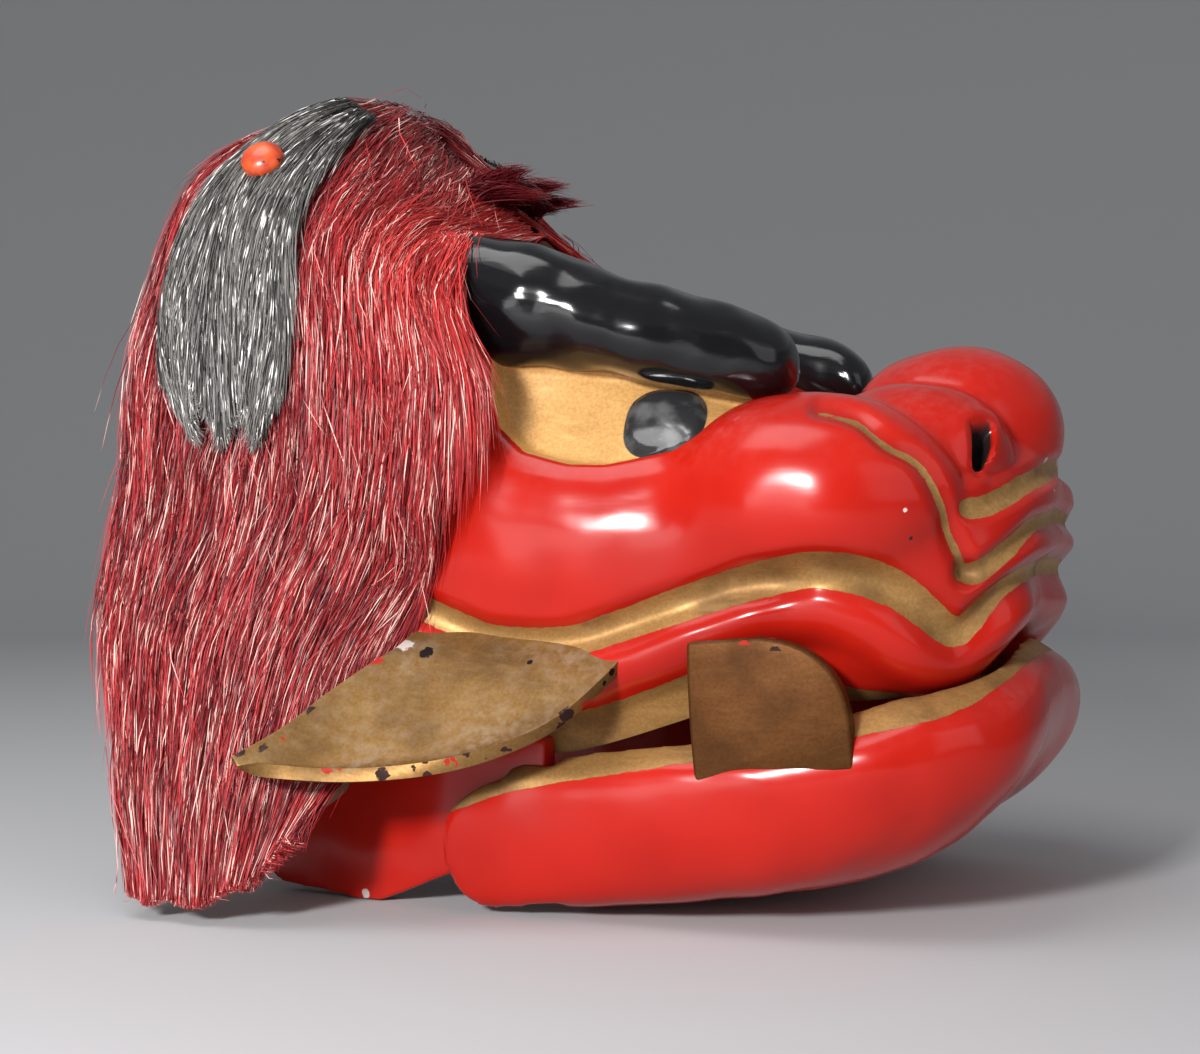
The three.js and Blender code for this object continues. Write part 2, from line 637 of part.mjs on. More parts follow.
function tongueSlab() {
  const outline = new THREE.Shape();
  const { rear, rearHalf, wideX, half, pullX, tip, tipHalf, sole } = TONGUE;
  const { low, high, fromX, toX, power, segments } = TONGUE_RISE;
  outline.moveTo(rear, -rearHalf);
  outline.lineTo(wideX, -half);
  outline.bezierCurveTo(pullX, -half, tip, -tipHalf, tip, 0);
  outline.bezierCurveTo(tip, tipHalf, pullX, half, wideX, half);
  outline.lineTo(rear, rearHalf);
  const slab = { depth: 1, bevelEnabled: false, curveSegments: segments };
  const geometry = new THREE.ExtrudeGeometry(outline, slab);
  const position = geometry.attributes.position;
  for (let i = 0; i < position.count; i++) {
    const top = position.getZ(i) > 0.5;
    const x = position.getX(i);
    const crest = low + high * smoothstep(x, fromX, toX) ** power;
    position.setZ(i, top ? crest : sole);
  }
  return solidOf(geometry);
}

// A closed tube through stations of a table, with rounded ends.
function browTube(grow = 0) {
  const last = BROW_STATIONS.length - 1;
  const skin = patch(
    (a, b) => {
      const row = b * last;
      const station = (name) => column(BROW_STATIONS, name, row);
      const end = Math.max(0, 1 - Math.abs(2 * b - 1) ** BROW.blunt) ** 0.5;
      const lump = 1 + BROW.lump * Math.sin(2 * Math.PI * BROW.lumps * b);
      const angle = -2 * Math.PI * a;
      return new THREE.Vector3(
        station("x"),
        -station("y") - Math.cos(angle) * (station("deep") * lump + grow) * end,
        station("z") + Math.sin(angle) * (station("high") * lump + grow) * end,
      );
    },
    BROW.sides,
    BROW.steps,
  );
  return solidOf(skin);
}

function earBlade(grow = 0) {
  const last = EAR_STATIONS.length - 1;
  const middle = (a, b) => {
    const row = b * last;
    const value = (name) => column(EAR_STATIONS, name, row);
    const front = new THREE.Vector3(value("frontX"), -value("frontY"), value("frontZ"));
    const rear = new THREE.Vector3(value("rearX"), -value("rearY"), value("rearZ"));
    const p = front.lerp(rear, a);
    p.z -= value("dish") * (1 - (2 * a - 1) ** 2);
    return p;
  };
  const half = (a) => grow + lerp(EAR.edge, EAR.thickness, 1 - (2 * a - 1) ** 2) / 2;
  const face = (sign) =>
    patch(
      (a, b) => {
        const way = sign > 0 ? a : 1 - a;
        const p = middle(way, b);
        p.z += sign * half(way);
        return p;
      },
      EAR.across,
      EAR.along,
    );
  const edge = (a, flip) =>
    patch(
      (b, c) => {
        const p = middle(a, b);
        p.z += lerp(-1, 1, flip ? 1 - c : c) * half(a);
        return p;
      },
      EAR.along,
      1,
    );
  const end = (b, flip) =>
    patch(
      (a, c) => {
        const p = middle(a, b);
        p.z += lerp(-1, 1, flip ? 1 - c : c) * half(a);
        return p;
      },
      EAR.across,
      1,
    );
  return solidOf(face(-1), face(1), edge(0, true), edge(1, false), end(0, false), end(1, true));
}

// The hide. Rows run from 0 on the crown line to the last section near the floor.
const MANE_LAST = MANE_SECTIONS.length - 1;
const HIDE_STEP = { row: 0.05, across: 0.02 };

function hidePoint(row, across) {
  const at = (name) => column(MANE_SECTIONS, name, row);
  const rise = at("swell") * Math.sin(Math.PI * clamp(across, 0, 1) ** MANE.crestBack);
  return new THREE.Vector3(
    lerp(at("frontX"), at("rearX"), across),
    Math.max(0, at("y")),
    lerp(at("frontZ"), at("rearZ"), across) + rise,
  );
}

function hideNormal(row, across) {
  const lower = hidePoint(Math.min(MANE_LAST, row + HIDE_STEP.row), across);
  const upper = hidePoint(Math.max(0, row - HIDE_STEP.row), across);
  const rear = hidePoint(row, Math.min(1, across + HIDE_STEP.across));
  const front = hidePoint(row, Math.max(0, across - HIDE_STEP.across));
  const down = lower.sub(upper);
  const back = rear.sub(front);
  const normal = back.cross(down).normalize();
  return normal.y + normal.z < 0 ? normal.negate() : normal;
}

function onHide(row, across, lift, sign) {
  const p = hidePoint(row, across).addScaledVector(hideNormal(row, across), lift);
  if (row === 0) p.y = 0;
  return mirrored(p, sign);
}

// One tapered lock lying on the hide between two rows.
function lock({ from, to, across, drift, wide, thick, lift }) {
  const skin = patch(
    (a, b) => {
      const row = lerp(from, to, b);
      const place = across + drift * Math.sin(Math.PI * b);
      const fullness = b < LOCK.fullest
        ? Math.sin((Math.PI / 2) * (b / LOCK.fullest))
        : Math.cos((Math.PI / 2) * ((b - LOCK.fullest) / (1 - LOCK.fullest)));
      const angle = -2 * Math.PI * a;
      const length = hidePoint(row, 0).distanceTo(hidePoint(row, 1));
      const shift = (Math.cos(angle) * wide * fullness) / length;
      return onHide(row, place + shift, lift + Math.sin(angle) * thick * fullness, -1);
    },
    LOCK.sides,
    LOCK.steps,
  );
  return solidOf(skin);
}

function locksOnOneSide() {
  const locks = [];
  for (const tier of LOCK_TIERS) {
    for (let i = 0; i < tier.count; i++) {
      const phase = Math.sin(7 * i + 3 * tier.count);
      locks.push(
        lock({
          from: tier.from,
          to: tier.to - tier.stagger * (0.5 + 0.5 * phase),
          across: (i + 0.5) / tier.count,
          drift: LOCK.sway * phase,
          wide: tier.wide,
          thick: tier.thick,
          lift: 1,
        }),
      );
    }
  }
  return locks.reduce((all, one) => all.add(one));
}

function forelock({ y, reach, rise }) {
  const root = hidePoint(0, FORELOCK.across);
  const spike = new THREE.ConeGeometry(FORELOCK.radius, FORELOCK.length, FORELOCK.sides, 1);
  spike.rotateZ(-Math.PI / 2);
  spike.scale(1, FORELOCK.broad, FORELOCK.flat);
  spike.rotateY(-Math.atan2(rise, reach + FORELOCK.length / 2));
  spike.translate(root.x + reach - FORELOCK.back, y, root.z + FORELOCK.lift);
  return solidOf(spike);
}

// A closed sheet over the hide: place(a, b) gives its row and its place across.
function hideSheet(place, low, high, slices, stacks) {
  const at = (a, b, lift) => {
    const { row, across } = place(a, b);
    return onHide(Math.abs(row), across, lift, row < 0 ? 1 : -1);
  };
  const edge = (line, flip, count) =>
    patch((t, c) => at(...line(t), lerp(low, high, flip ? 1 - c : c)), count, 1);
  return solidOf(
    patch((a, b) => at(1 - a, b, high), slices, stacks),
    patch((a, b) => at(a, b, low), slices, stacks),
    edge((t) => [t, 0], true, slices),
    edge((t) => [t, 1], false, slices),
    edge((t) => [0, t], false, stacks),
    edge((t) => [1, t], true, stacks),
  );
}

function hideBacking() {
  const place = (a, b) => ({ row: lerp(-MANE.endRow, MANE.endRow, a), across: b });
  return hideSheet(place, -MANE.sunk, MANE.backing, MANE.around, MANE.across);
}

function patchFan(grow = 0) {
  const place = (a, b) => {
    const notch = PATCH.notch * Math.abs(((b * PATCH.points) % 1) - 0.5);
    const row = lerp(PATCH.from, PATCH.to - notch, a) + PATCH.rowPerGap * grow * lerp(-1, 1, a);
    const full = Math.sin(Math.PI * a);
    const half = lerp(PATCH.narrow, PATCH.wide, a) + PATCH.bulge * full + PATCH.acrossPerGap * grow;
    const middle = lerp(PATCH.top, PATCH.end, a) + PATCH.bow * full;
    return { row, across: middle + lerp(-half, half, b) };
  };
  return hideSheet(place, PATCH.lift - grow, PATCH.lift + PATCH.thick + grow, 5, 2 * PATCH.points);
}

function tackDome(grow = 0) {
  const foot = -TACK.stem - grow;
  const profile = [new THREE.Vector2(0, foot), new THREE.Vector2(TACK.radius / 2 + grow, foot)];
  for (let i = 0; i <= TACK.steps; i++) {
    const angle = (Math.PI / 2) * (i / TACK.steps);
    profile.push(
      new THREE.Vector2(
        i === TACK.steps ? 0 : (TACK.radius + grow) * Math.cos(angle),
        (TACK.height + grow) * Math.sin(angle),
      ),
    );
  }
  const dome = new THREE.LatheGeometry(profile, TACK.sides);
  const normal = hideNormal(TACK.row, TACK.across);
  normal.y = -normal.y;
  const turn = new THREE.Quaternion().setFromUnitVectors(new THREE.Vector3(0, 1, 0), normal);
  const seat = onHide(TACK.row, TACK.across, PATCH.lift + PATCH.thick, -1);
  dome.applyQuaternion(turn);
  dome.translate(seat.x, seat.y, seat.z);
  return solidOf(dome);
}

// Assembly
const lion = new THREE.Group();
const carved = new THREE.Group();
carved.position.x = -ORIGIN_X;
lion.add(carved);

function addPiece(name, solid, colour, finish, side = 1) {
  const material = new THREE.MeshStandardMaterial({ color: colour, ...finish });
  const mesh = new THREE.Mesh(geometryOf(solid), material);
  mesh.name = name;
  mesh.scale.y = side;
  carved.add(mesh);
}

const GLOSS = { roughness: 0.22, metalness: 0 };
const GILT = { roughness: 0.45, metalness: 0.8 };
const DULL = { roughness: 0.8, metalness: 0 };

const grownHead = headOutside(GAP);
const grownJaw = lowerJaw(GAP);
const rightBrow = browTube().subtract(grownHead);
const rightEar = earBlade().subtract(grownHead);
const rightTusk = tuskBlock().subtract(grownJaw).subtract(headOutside(TUSK.clearance));
const rightPatch = patchFan();

addPiece("head_shell", headShell(), COLOURS.lacquer, GLOSS);
addPiece("lower_jaw", lowerJaw(), COLOURS.lacquer, GLOSS);
addPiece("hinge_rod", rodAcross(PIVOT.radius, PIVOT.reach), COLOURS.wood, DULL);
addPiece("tongue", tongueSlab().intersect(jawTrough(GAP)), COLOURS.tongue, GLOSS);

const looseHair = bothSides(locksOnOneSide())
  .add(hideBacking())
  .add(FORELOCKS.map(forelock).reduce((all, one) => all.add(one)));
const mane = looseHair
  .subtract(headOutside(MANE.clearance, MANE.cutColumns, MANE.cutRows))
  .subtract(bothSides(browTube(GAP)))
  .subtract(bothSides(earBlade(GAP)))
  .subtract(bothSides(patchFan(GAP)))
  .subtract(bothSides(tackDome(GAP)));
addPiece("mane", mane, COLOURS.mane, DULL);

for (const [name, side] of [["right", 1], ["left", -1]]) {
  addPiece(`brow_${name}`, rightBrow, COLOURS.black, GLOSS, side);
  addPiece(`ear_${name}`, rightEar, COLOURS.gilt, GILT, side);
  addPiece(`tusk_${name}`, rightTusk, COLOURS.gilt, GILT, side);
  addPiece(`hair_patch_${name}`, rightPatch.subtract(tackDome(GAP)), COLOURS.patch, DULL, side);
  addPiece(`tack_${name}`, tackDome(), COLOURS.tack, GLOSS, side);
}

export default lion;
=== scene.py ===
"""Finish of a carved lion dance head: lacquer, gilding, glossy brows and a long dyed hide.

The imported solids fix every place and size. This script models the same forms finely and dresses them
with procedural finishes. Carving sizes are millimetres in the carver's own layout: X towards the nose,
Y towards the lion's left, Z up from the floor. to_frame() takes them to the frame's metres.
"""

import json
import logging
import math
from collections.abc import Callable, Sequence
from dataclasses import dataclass
from enum import Enum
from typing import Any, NamedTuple

import bmesh
import bpy
import numpy as np
from mathutils import Matrix, Vector
from mathutils.bvhtree import BVHTree


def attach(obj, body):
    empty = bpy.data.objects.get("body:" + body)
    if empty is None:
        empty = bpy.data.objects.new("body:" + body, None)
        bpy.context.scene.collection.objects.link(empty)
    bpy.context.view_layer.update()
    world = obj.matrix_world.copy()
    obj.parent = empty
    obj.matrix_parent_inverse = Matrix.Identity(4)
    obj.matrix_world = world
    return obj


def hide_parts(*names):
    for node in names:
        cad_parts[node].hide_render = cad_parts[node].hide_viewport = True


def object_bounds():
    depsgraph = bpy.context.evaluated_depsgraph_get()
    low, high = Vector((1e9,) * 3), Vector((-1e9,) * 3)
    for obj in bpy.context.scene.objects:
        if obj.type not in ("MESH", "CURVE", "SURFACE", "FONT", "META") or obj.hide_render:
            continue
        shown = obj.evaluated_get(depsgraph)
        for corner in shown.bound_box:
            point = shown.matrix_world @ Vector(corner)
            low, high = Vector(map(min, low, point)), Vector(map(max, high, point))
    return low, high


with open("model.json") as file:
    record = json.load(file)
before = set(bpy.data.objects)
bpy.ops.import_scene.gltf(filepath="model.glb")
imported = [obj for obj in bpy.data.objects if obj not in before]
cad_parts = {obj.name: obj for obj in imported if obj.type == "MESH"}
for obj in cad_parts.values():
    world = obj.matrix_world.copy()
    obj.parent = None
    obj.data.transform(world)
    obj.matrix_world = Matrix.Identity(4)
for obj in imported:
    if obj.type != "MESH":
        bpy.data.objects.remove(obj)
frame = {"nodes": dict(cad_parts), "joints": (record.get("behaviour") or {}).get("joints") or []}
CAD_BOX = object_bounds()
LOG = logging.getLogger("lion_head")

MM = 0.001
HINGE_MM = np.array((6.0, 0.0, 24.0))
HINGE_M = np.array(frame["joints"][0]["pos_m"])
FAR = 30.0
Array = np.ndarray
Grid = tuple[Array, dict[str, Array]]
Place = Callable[[Array, Array], Grid]
Pair = tuple[float, float]
Triple = tuple[float, float, float]
Colour = tuple[float, float, float, float]
Chance = np.random.Generator
Piece = bpy.types.Object
Material = bpy.types.Material
Socket = bpy.types.NodeSocket


class Side(Enum):
    """One side of the lion, by the sign of its Y."""

    RIGHT = -1
    LEFT = 1

    @property
    def word(self) -> str:
        """The side's name as the pieces carry it."""
        return self.name.lower()

    @property
    def mirror(self) -> Array:
        """Factors that take points with Y positive to this side."""
        return np.array((1.0, self.value, 1.0))


class Cut(Enum):
    """How one solid works on another."""

    REMOVE = "DIFFERENCE"
    KEEP = "INTERSECT"


class Level(NamedTuple):
    """One level of a loft: half widths, foremost X, squareness of the plan and heights along it."""

    rear_width: float
    nose_width: float
    reach: float
    square: float
    rear: float
    cheek: float
    arch: float
    corner: float
    front: float


class Swell(NamedTuple):
    """A soft swell or hollow: its middle, its half axes and how far it lifts the surface."""

    x: float
    y: float
    z: float
    rx: float
    ry: float
    rz: float
    lift: float


class LinePoint(NamedTuple):
    """A place on the unrolled surface and the half width of the painted line there."""

    along: float
    z: float
    half: float


class HideSection(NamedTuple):
    """A section across the hide: its Y, the X and Z of its two edges, and its rise in the middle."""

    y: float
    front_x: float
    rear_x: float
    front_z: float
    rear_z: float
    swell: float


class BrowStation(NamedTuple):
    """A station along one brow: its middle and its half height and half depth."""

    x: float
    y: float
    z: float
    high: float
    deep: float


class EarStation(NamedTuple):
    """A station along one ear: its two edges and how deep its face is dished."""

    front_x: float
    front_y: float
    front_z: float
    rear_x: float
    rear_y: float
    rear_z: float
    dish: float


def to_frame(points: Array) -> Array:
    """Takes points in carving millimetres to the frame's metres."""
    return (np.asarray(points, float) - HINGE_MM) * MM + HINGE_M


def smoothstep(value: Array, low: float, high: float) -> Array:
    """Smooth share from 0 at low to 1 at high."""
    t = np.clip((value - low) / (high - low), 0, 1)
    return t * t * (3 - 2 * t)


def lerp(low: Any, high: Any, share: Any) -> Any:
    """Straight blend of two values."""
    return low + (high - low) * share


def bell(r: Array) -> Array:
    """A smooth hump that is 1 at 0 and 0 from 1 outwards."""
    return np.where(np.abs(r) < 1, (1 - r * r) ** 2, 0.0)


def unit(vectors: Array) -> Array:
    """Vectors of the same directions with length 1."""
    return vectors / np.maximum(np.linalg.norm(vectors, axis=-1, keepdims=True), 1e-9)


def column(table: Sequence[NamedTuple], name: str, row: Array) -> Array:
    """Value of a table's column at fractional rows, on a Catmull-Rom curve.

    Args:
        table: Rows with named columns.
        name: The column.
        row: Fractional row numbers.

    Returns:
        One value for each row number.
    """
    values = np.array([getattr(entry, name) for entry in table], float)
    last = len(values) - 1
    i = np.clip(np.floor(row).astype(int), 0, last - 1)
    a, b, c, d = (values[np.clip(i + k, 0, last)] for k in (-1, 0, 1, 2))
    t = row - i
    slope_b = (c - a) / 2
    slope_c = (d - b) / 2
    bend = (2 * (b - c) + slope_b + slope_c) * t**3 + (3 * (c - b) - 2 * slope_b - slope_c) * t**2
    return bend + slope_b * t + b


STATIONS = {"rear": 0.0, "cheek": 0.37, "arch": 0.6, "corner": 0.78, "front": 1.0}
CORNER_TURN = 0.72
FULL_INSET_WIDTH = 50.0


def height_along(levels: Sequence[Level], row: Array, u: Array) -> Array:
    """Smooth height along a level, through its stations and level at the middle of the front.

    Args:
        levels: The loft's levels.
        row: Fractional level numbers.
        u: Places from 0 at the rear to 1 at the middle of the front.

    Returns:
        Heights in millimetres.
    """
    places = np.array(list(STATIONS.values()))
    heights = np.stack([column(levels, name, row) for name in STATIONS])
    rises = np.diff(heights, axis=0) / np.diff(places)[:, None]
    slopes = np.concatenate([rises[:1], (rises[:-1] + rises[1:]) / 2, 0 * rises[:1]])
    i = np.clip(np.searchsorted(places, u, side="right") - 1, 0, len(places) - 2)

    def pick(grid: Array, k: Array) -> Array:
        """One entry of each point's column."""
        return np.take_along_axis(grid, k[None], axis=0)[0]

    span = np.diff(places)[i]
    t = (u - places[i]) / span
    lead = pick(slopes, i) * span * t * (1 - t) ** 2 - pick(slopes, i + 1) * span * t**2 * (1 - t)
    return lerp(pick(heights, i), pick(heights, i + 1), t * t * (3 - 2 * t)) + lead


def loft_points(
    levels: Sequence[Level], rear: float, u: Array, row: Array, inset: float = 0.0, front_inset: float = 0.0
) -> Array:
    """Points of one half of a loft, with Y positive.

    Args:
        levels: The loft's levels.
        rear: X of the rear edge.
        u: Places from 0 at the rear to 1 at the middle of the front.
        row: Fractional level numbers.
        inset: How far the sides are drawn in.
        front_inset: How far the front is drawn in.

    Returns:
        Points in carving millimetres.
    """
    bend = np.arctan((1 - u) / (1 - CORNER_TURN))
    turn = np.where(u < CORNER_TURN, np.arctan(u / CORNER_TURN), np.pi / 2 - bend)
    power = column(levels, "square", row)
    cosine = np.maximum(0, np.cos(turn))
    norm = (np.sin(turn) ** power + cosine**power) ** (1 / power)
    forward = np.sin(turn) / norm
    widths = [column(levels, name, row) for name in ("rear_width", "nose_width")]
    width = lerp(*widths, smoothstep(forward, 0, 1))
    x = lerp(rear, column(levels, "reach", row) - front_inset, forward)
    narrowed = width - inset * np.minimum(1, width / FULL_INSET_WIDTH)
    y = np.where(u >= 1, 0.0, narrowed * cosine / norm)
    return np.stack([x, y, height_along(levels, row, u)], axis=-1)


def surface_normals(surface: Callable[[Array, Array], Array], u: Array, row: Array, last: float) -> Array:
    """Outward normals of a loft's half by small steps.

    Args:
        surface: Gives points for places and level numbers.
        u: Places along the levels.
        row: Fractional level numbers.
        last: The highest level number.

    Returns:
        One unit normal for each place.
    """
    step_u = 0.004
    step_row = 0.03
    steps_aside = 5

    def crossed(u: Array, row: Array) -> Array:
        """Cross product of the two tangents."""
        along = surface(np.minimum(1, u + step_u), row) - surface(np.maximum(0, u - step_u), row)
        up = surface(u, np.minimum(last, row + step_row)) - surface(u, np.maximum(0, row - step_row))
        return np.cross(up, along)

    normal = crossed(u, row)
    lost = np.linalg.norm(normal, axis=-1) < 1e-4
    beside = crossed(np.maximum(0, u - steps_aside * step_u), row - steps_aside * step_row * (row > 1))
    return unit(np.where(lost[:, None], beside, normal))


def smooth_path(points: Sequence[LinePoint], steps: int = 5) -> Array:
    """A drawn line with steps added between its points, in rows of along, height and half width."""
    rows = np.linspace(0, len(points) - 1, steps * (len(points) - 1) + 1)
    return np.stack([column(points, name, rows) for name in LinePoint._fields], axis=-1)


def line_reach(path: Array, at: Array) -> tuple[Array, Array, Array]:
    """How far points lie from a drawn line.

    Args:
        path: Rows of along, height and half width.
        at: Points as along and height.

    Returns:
        The distance, the distance inside the painted width, and whether each point lies below.
    """
    distance = np.full(len(at), np.inf)
    inside = np.full(len(at), -np.inf)
    below = np.zeros(len(at), bool)
    for start, end in zip(path[:-1], path[1:]):
        way = (end - start)[:2]
        from_start = at - start[:2]
        t = np.clip(from_start @ way / (way @ way), 0, 1)
        gap = np.linalg.norm(from_start - t[:, None] * way, axis=1)
        side = way[1] * from_start[:, 0] > way[0] * from_start[:, 1]
        closer = gap < distance
        inside = np.where(closer, lerp(start[2], end[2], t) - gap, inside)
        below = np.where(closer, side, below)
        distance = np.where(closer, gap, distance)
    return distance, inside, below


def outline_depth(outline: Array, at: Array) -> Array:
    """Distance inside a closed outline, negative outside it.

    Args:
        outline: Corners in order.
        at: Points in the outline's plane.

    Returns:
        One distance for each point.
    """
    inside = np.zeros(len(at), bool)
    distance = np.full(len(at), np.inf)
    for a, b in zip(outline, np.roll(outline, -1, axis=0)):
        way = b - a
        t = np.clip((at - a) @ way / (way @ way), 0, 1)
        distance = np.minimum(distance, np.linalg.norm(at - a - t[:, None] * way, axis=1))
        if a[1] != b[1]:
            crosses = (a[1] > at[:, 1]) != (b[1] > at[:, 1])
            inside ^= crosses & (at[:, 0] < a[0] + way[0] * (at[:, 1] - a[1]) / way[1])
    return np.where(inside, distance, -distance)


def arc(centre: Sequence[float], radius: float, turns: Array) -> Array:
    """Points of a circle in X and Z at given turns."""
    return np.stack([centre[0] + radius * np.cos(turns), centre[1] + radius * np.sin(turns)], axis=-1)


class Sculpture:
    """A mesh in the making: grids laid where functions say, welded and turned outwards."""

    def __init__(self, name: str) -> None:
        """Starts an empty sculpture of the piece that gets the name."""
        self.name = name
        self.mesh = bmesh.new()

    def patch(self, place: Place, columns: int, rows: int) -> None:
        """Lays a grid.

        Args:
            place: Gives points in millimetres and painted fields for shares across and up the grid.
            columns: Faces across.
            rows: Faces up.
        """
        start = len(self.mesh.verts)
        bmesh.ops.create_grid(self.mesh, x_segments=columns, y_segments=rows, size=1.0)
        spots = np.array([vertex.co[:2] for vertex in self.mesh.verts[start:]])
        shares = (spots - spots.min(0)) / np.ptp(spots, axis=0)
        points, fields = place(shares[:, 0], shares[:, 1])
        layers = self.mesh.verts.layers.float
        kept = {name: layers.get(name) or layers.new(name) for name in fields}
        for i, vertex in enumerate(self.mesh.verts[start:]):
            vertex.co = to_frame(points[i])
            for name, layer in kept.items():
                vertex[layer] = fields[name][i]

    def on_side(self, side: Side, place: Place, columns: int, rows: int) -> None:
        """Lays a grid on one side of the lion.

        Args:
            side: The side.
            place: Gives points with Y positive.
            columns: Faces across.
            rows: Faces up.
        """

        def sided(a: Array, b: Array) -> Grid:
            """The grid's points on that side."""
            points, fields = place(a, b)
            return points * side.mirror, fields

        self.patch(sided, columns, rows)

    def both_sides(self, place: Place, columns: int, rows: int) -> None:
        """Lays a grid on the right side and its mirror image on the left."""
        for side in Side:
            self.on_side(side, place, columns, rows)

    def weld(self, distance: float = 2e-6) -> None:
        """Joins vertices that meet."""
        bmesh.ops.remove_doubles(self.mesh, verts=self.mesh.verts[:], dist=distance)
        bmesh.ops.dissolve_degenerate(self.mesh, edges=self.mesh.edges[:], dist=distance)

    def bridge_open_edges(self) -> None:
        """Closes a wall between an outer and an inner open edge."""
        open_edges = [edge for edge in self.mesh.edges if edge.is_boundary]
        bmesh.ops.bridge_loops(self.mesh, edges=open_edges)

    def prism(self, outline: Array, inner: float, outer: float) -> None:
        """Adds a flat block drawn in X and Z.

        Args:
            outline: Corners as X and Z.
            inner: Y of its one face.
            outer: Y of its other face.
        """
        corners = [(x, inner, z) for x, z in outline]
        drawn = [self.mesh.verts.new(point) for point in to_frame(np.array(corners))]
        face = self.mesh.faces.new(drawn)
        pulled = bmesh.ops.extrude_face_region(self.mesh, geom=[face])["geom"]
        moved = [item for item in pulled if isinstance(item, bmesh.types.BMVert)]
        bmesh.ops.translate(self.mesh, verts=moved, vec=(0, (outer - inner) * MM, 0))

    def spin(self, profile: Sequence[Pair], sides: int) -> None:
        """Turns a profile round the Z axis.

        Args:
            profile: Distances from the axis and heights, in metres.
            sides: Faces round.
        """
        drawn = [self.mesh.verts.new((radius, 0, height)) for radius, height in profile]
        edges = [self.mesh.edges.new(pair) for pair in zip(drawn[:-1], drawn[1:])]
        circle = {"cent": (0, 0, 0), "axis": (0, 0, 1), "angle": 2 * math.pi, "steps": sides}
        bmesh.ops.spin(self.mesh, geom=drawn + edges, use_merge=True, use_duplicate=False, **circle)

    def move(self, by: Sequence[float]) -> None:
        """Moves the whole sculpture, in metres."""
        bmesh.ops.translate(self.mesh, verts=self.mesh.verts[:], vec=Vector(by))

    def turn(self, matrix: Matrix) -> None:
        """Turns the whole sculpture about the frame's origin."""
        bmesh.ops.rotate(self.mesh, verts=self.mesh.verts[:], cent=(0, 0, 0), matrix=matrix)

    def turn_out(self) -> None:
        """Turns every face outwards, and a closed solid that came out inside out right way round."""
        bmesh.ops.recalc_face_normals(self.mesh, faces=self.mesh.faces[:])
        closed = not any(edge.is_boundary for edge in self.mesh.edges)
        if closed and self.mesh.calc_volume(signed=True) < 0:
            bmesh.ops.reverse_faces(self.mesh, faces=self.mesh.faces[:])

    def piece(self, crease_deg: float | None = 40.0) -> Piece:
        """Makes the object.

        Args:
            crease_deg: Edges sharper than this stay crisp, or None for a surface smooth all over.

        Returns:
            The finished object at the origin.
        """
        self.weld()
        self.turn_out()
        data = bpy.data.meshes.new(self.name)
        self.mesh.to_mesh(data)
        self.mesh.free()
        made = bpy.data.objects.new(self.name, data)
        bpy.context.scene.collection.objects.link(made)
        soften(made, crease_deg)
        return made


def soften(piece: Piece, crease_deg: float | None) -> None:
    """Shades a piece smooth.

    Args:
        piece: The piece.
        crease_deg: Edges sharper than this stay crisp, or None for none.
    """
    piece.data.shade_smooth()
    if crease_deg is not None:
        piece.data.set_sharp_from_angle(angle=math.radians(crease_deg))


def settle_modifiers(piece: Piece) -> None:
    """Makes a piece's modified mesh its own.

    Args:
        piece: The piece.
    """
    shown = piece.evaluated_get(bpy.context.evaluated_depsgraph_get())
    settled = bpy.data.meshes.new_from_object(shown)
    piece.modifiers.clear()
    old = piece.data
    piece.data = settled
    bpy.data.meshes.remove(old)


def carve(piece: Piece, tool: Piece, cut: Cut) -> None:
    """Cuts a piece with another, which is used up.

    Args:
        piece: The piece that stays.
        tool: The piece that works on it.
        cut: What it does.
    """
    work = piece.modifiers.new("carve", "BOOLEAN")
    work.operation = cut.value
    work.object = tool
    work.solver = "MANIFOLD"
    settle_modifiers(piece)
    bpy.data.objects.remove(tool)


def round_over(piece: Piece, voxel_mm: float, rounds: int) -> None:
    """Gives a cut solid one even skin with softly worn edges.

    Args:
        piece: The solid.
        voxel_mm: Size of the even faces.
        rounds: How often the skin is smoothed.
    """
    skin = piece.modifiers.new("skin", "REMESH")
    skin.mode = "VOXEL"
    skin.voxel_size = voxel_mm * MM
    wear = piece.modifiers.new("wear", "SMOOTH")
    wear.factor = 0.5
    wear.iterations = rounds
    settle_modifiers(piece)
    soften(piece, None)


def round_edges(piece: Piece, width_mm: float, crease_deg: float) -> None:
    """Rounds a piece's crisp edges.

    Args:
        piece: The piece.
        width_mm: How far the rounding reaches from an edge.
        crease_deg: Edges that are still sharper than this stay crisp.
    """
    bevel = piece.modifiers.new("worn edges", "BEVEL")
    bevel.width = width_mm * MM
    bevel.segments = 3
    bevel.limit_method = "ANGLE"
    bevel.angle_limit = math.radians(45)
    settle_modifiers(piece)
    soften(piece, crease_deg)


def thicken(piece: Piece, thickness_mm: float, offset: float, back_slot: int = 0) -> None:
    """Gives a sheet a body, with a live modifier.

    Args:
        piece: The sheet.
        thickness_mm: Its thickness.
        offset: -1 for a body behind the drawn face, or 0 for one on both sides of it.
        back_slot: The material slot of its back and its rim.
    """
    body = piece.modifiers.new("body", "SOLIDIFY")
    body.thickness = thickness_mm * MM
    body.offset = offset
    body.material_offset = back_slot
    body.material_offset_rim = back_slot


def vertex_values(piece: Piece, name: str) -> Array:
    """A vector that every vertex of a piece has, such as its place or its normal.

    Args:
        piece: The piece.
        name: The vector's name on a vertex.

    Returns:
        One vector in each row.
    """
    flat = np.empty(3 * len(piece.data.vertices), np.float32)
    piece.data.vertices.foreach_get(name, flat)
    return flat.reshape(-1, 3)


def points_mm(piece: Piece) -> Array:
    """A piece's vertices in carving millimetres."""
    return (vertex_values(piece, "co") - HINGE_M) / MM + HINGE_MM


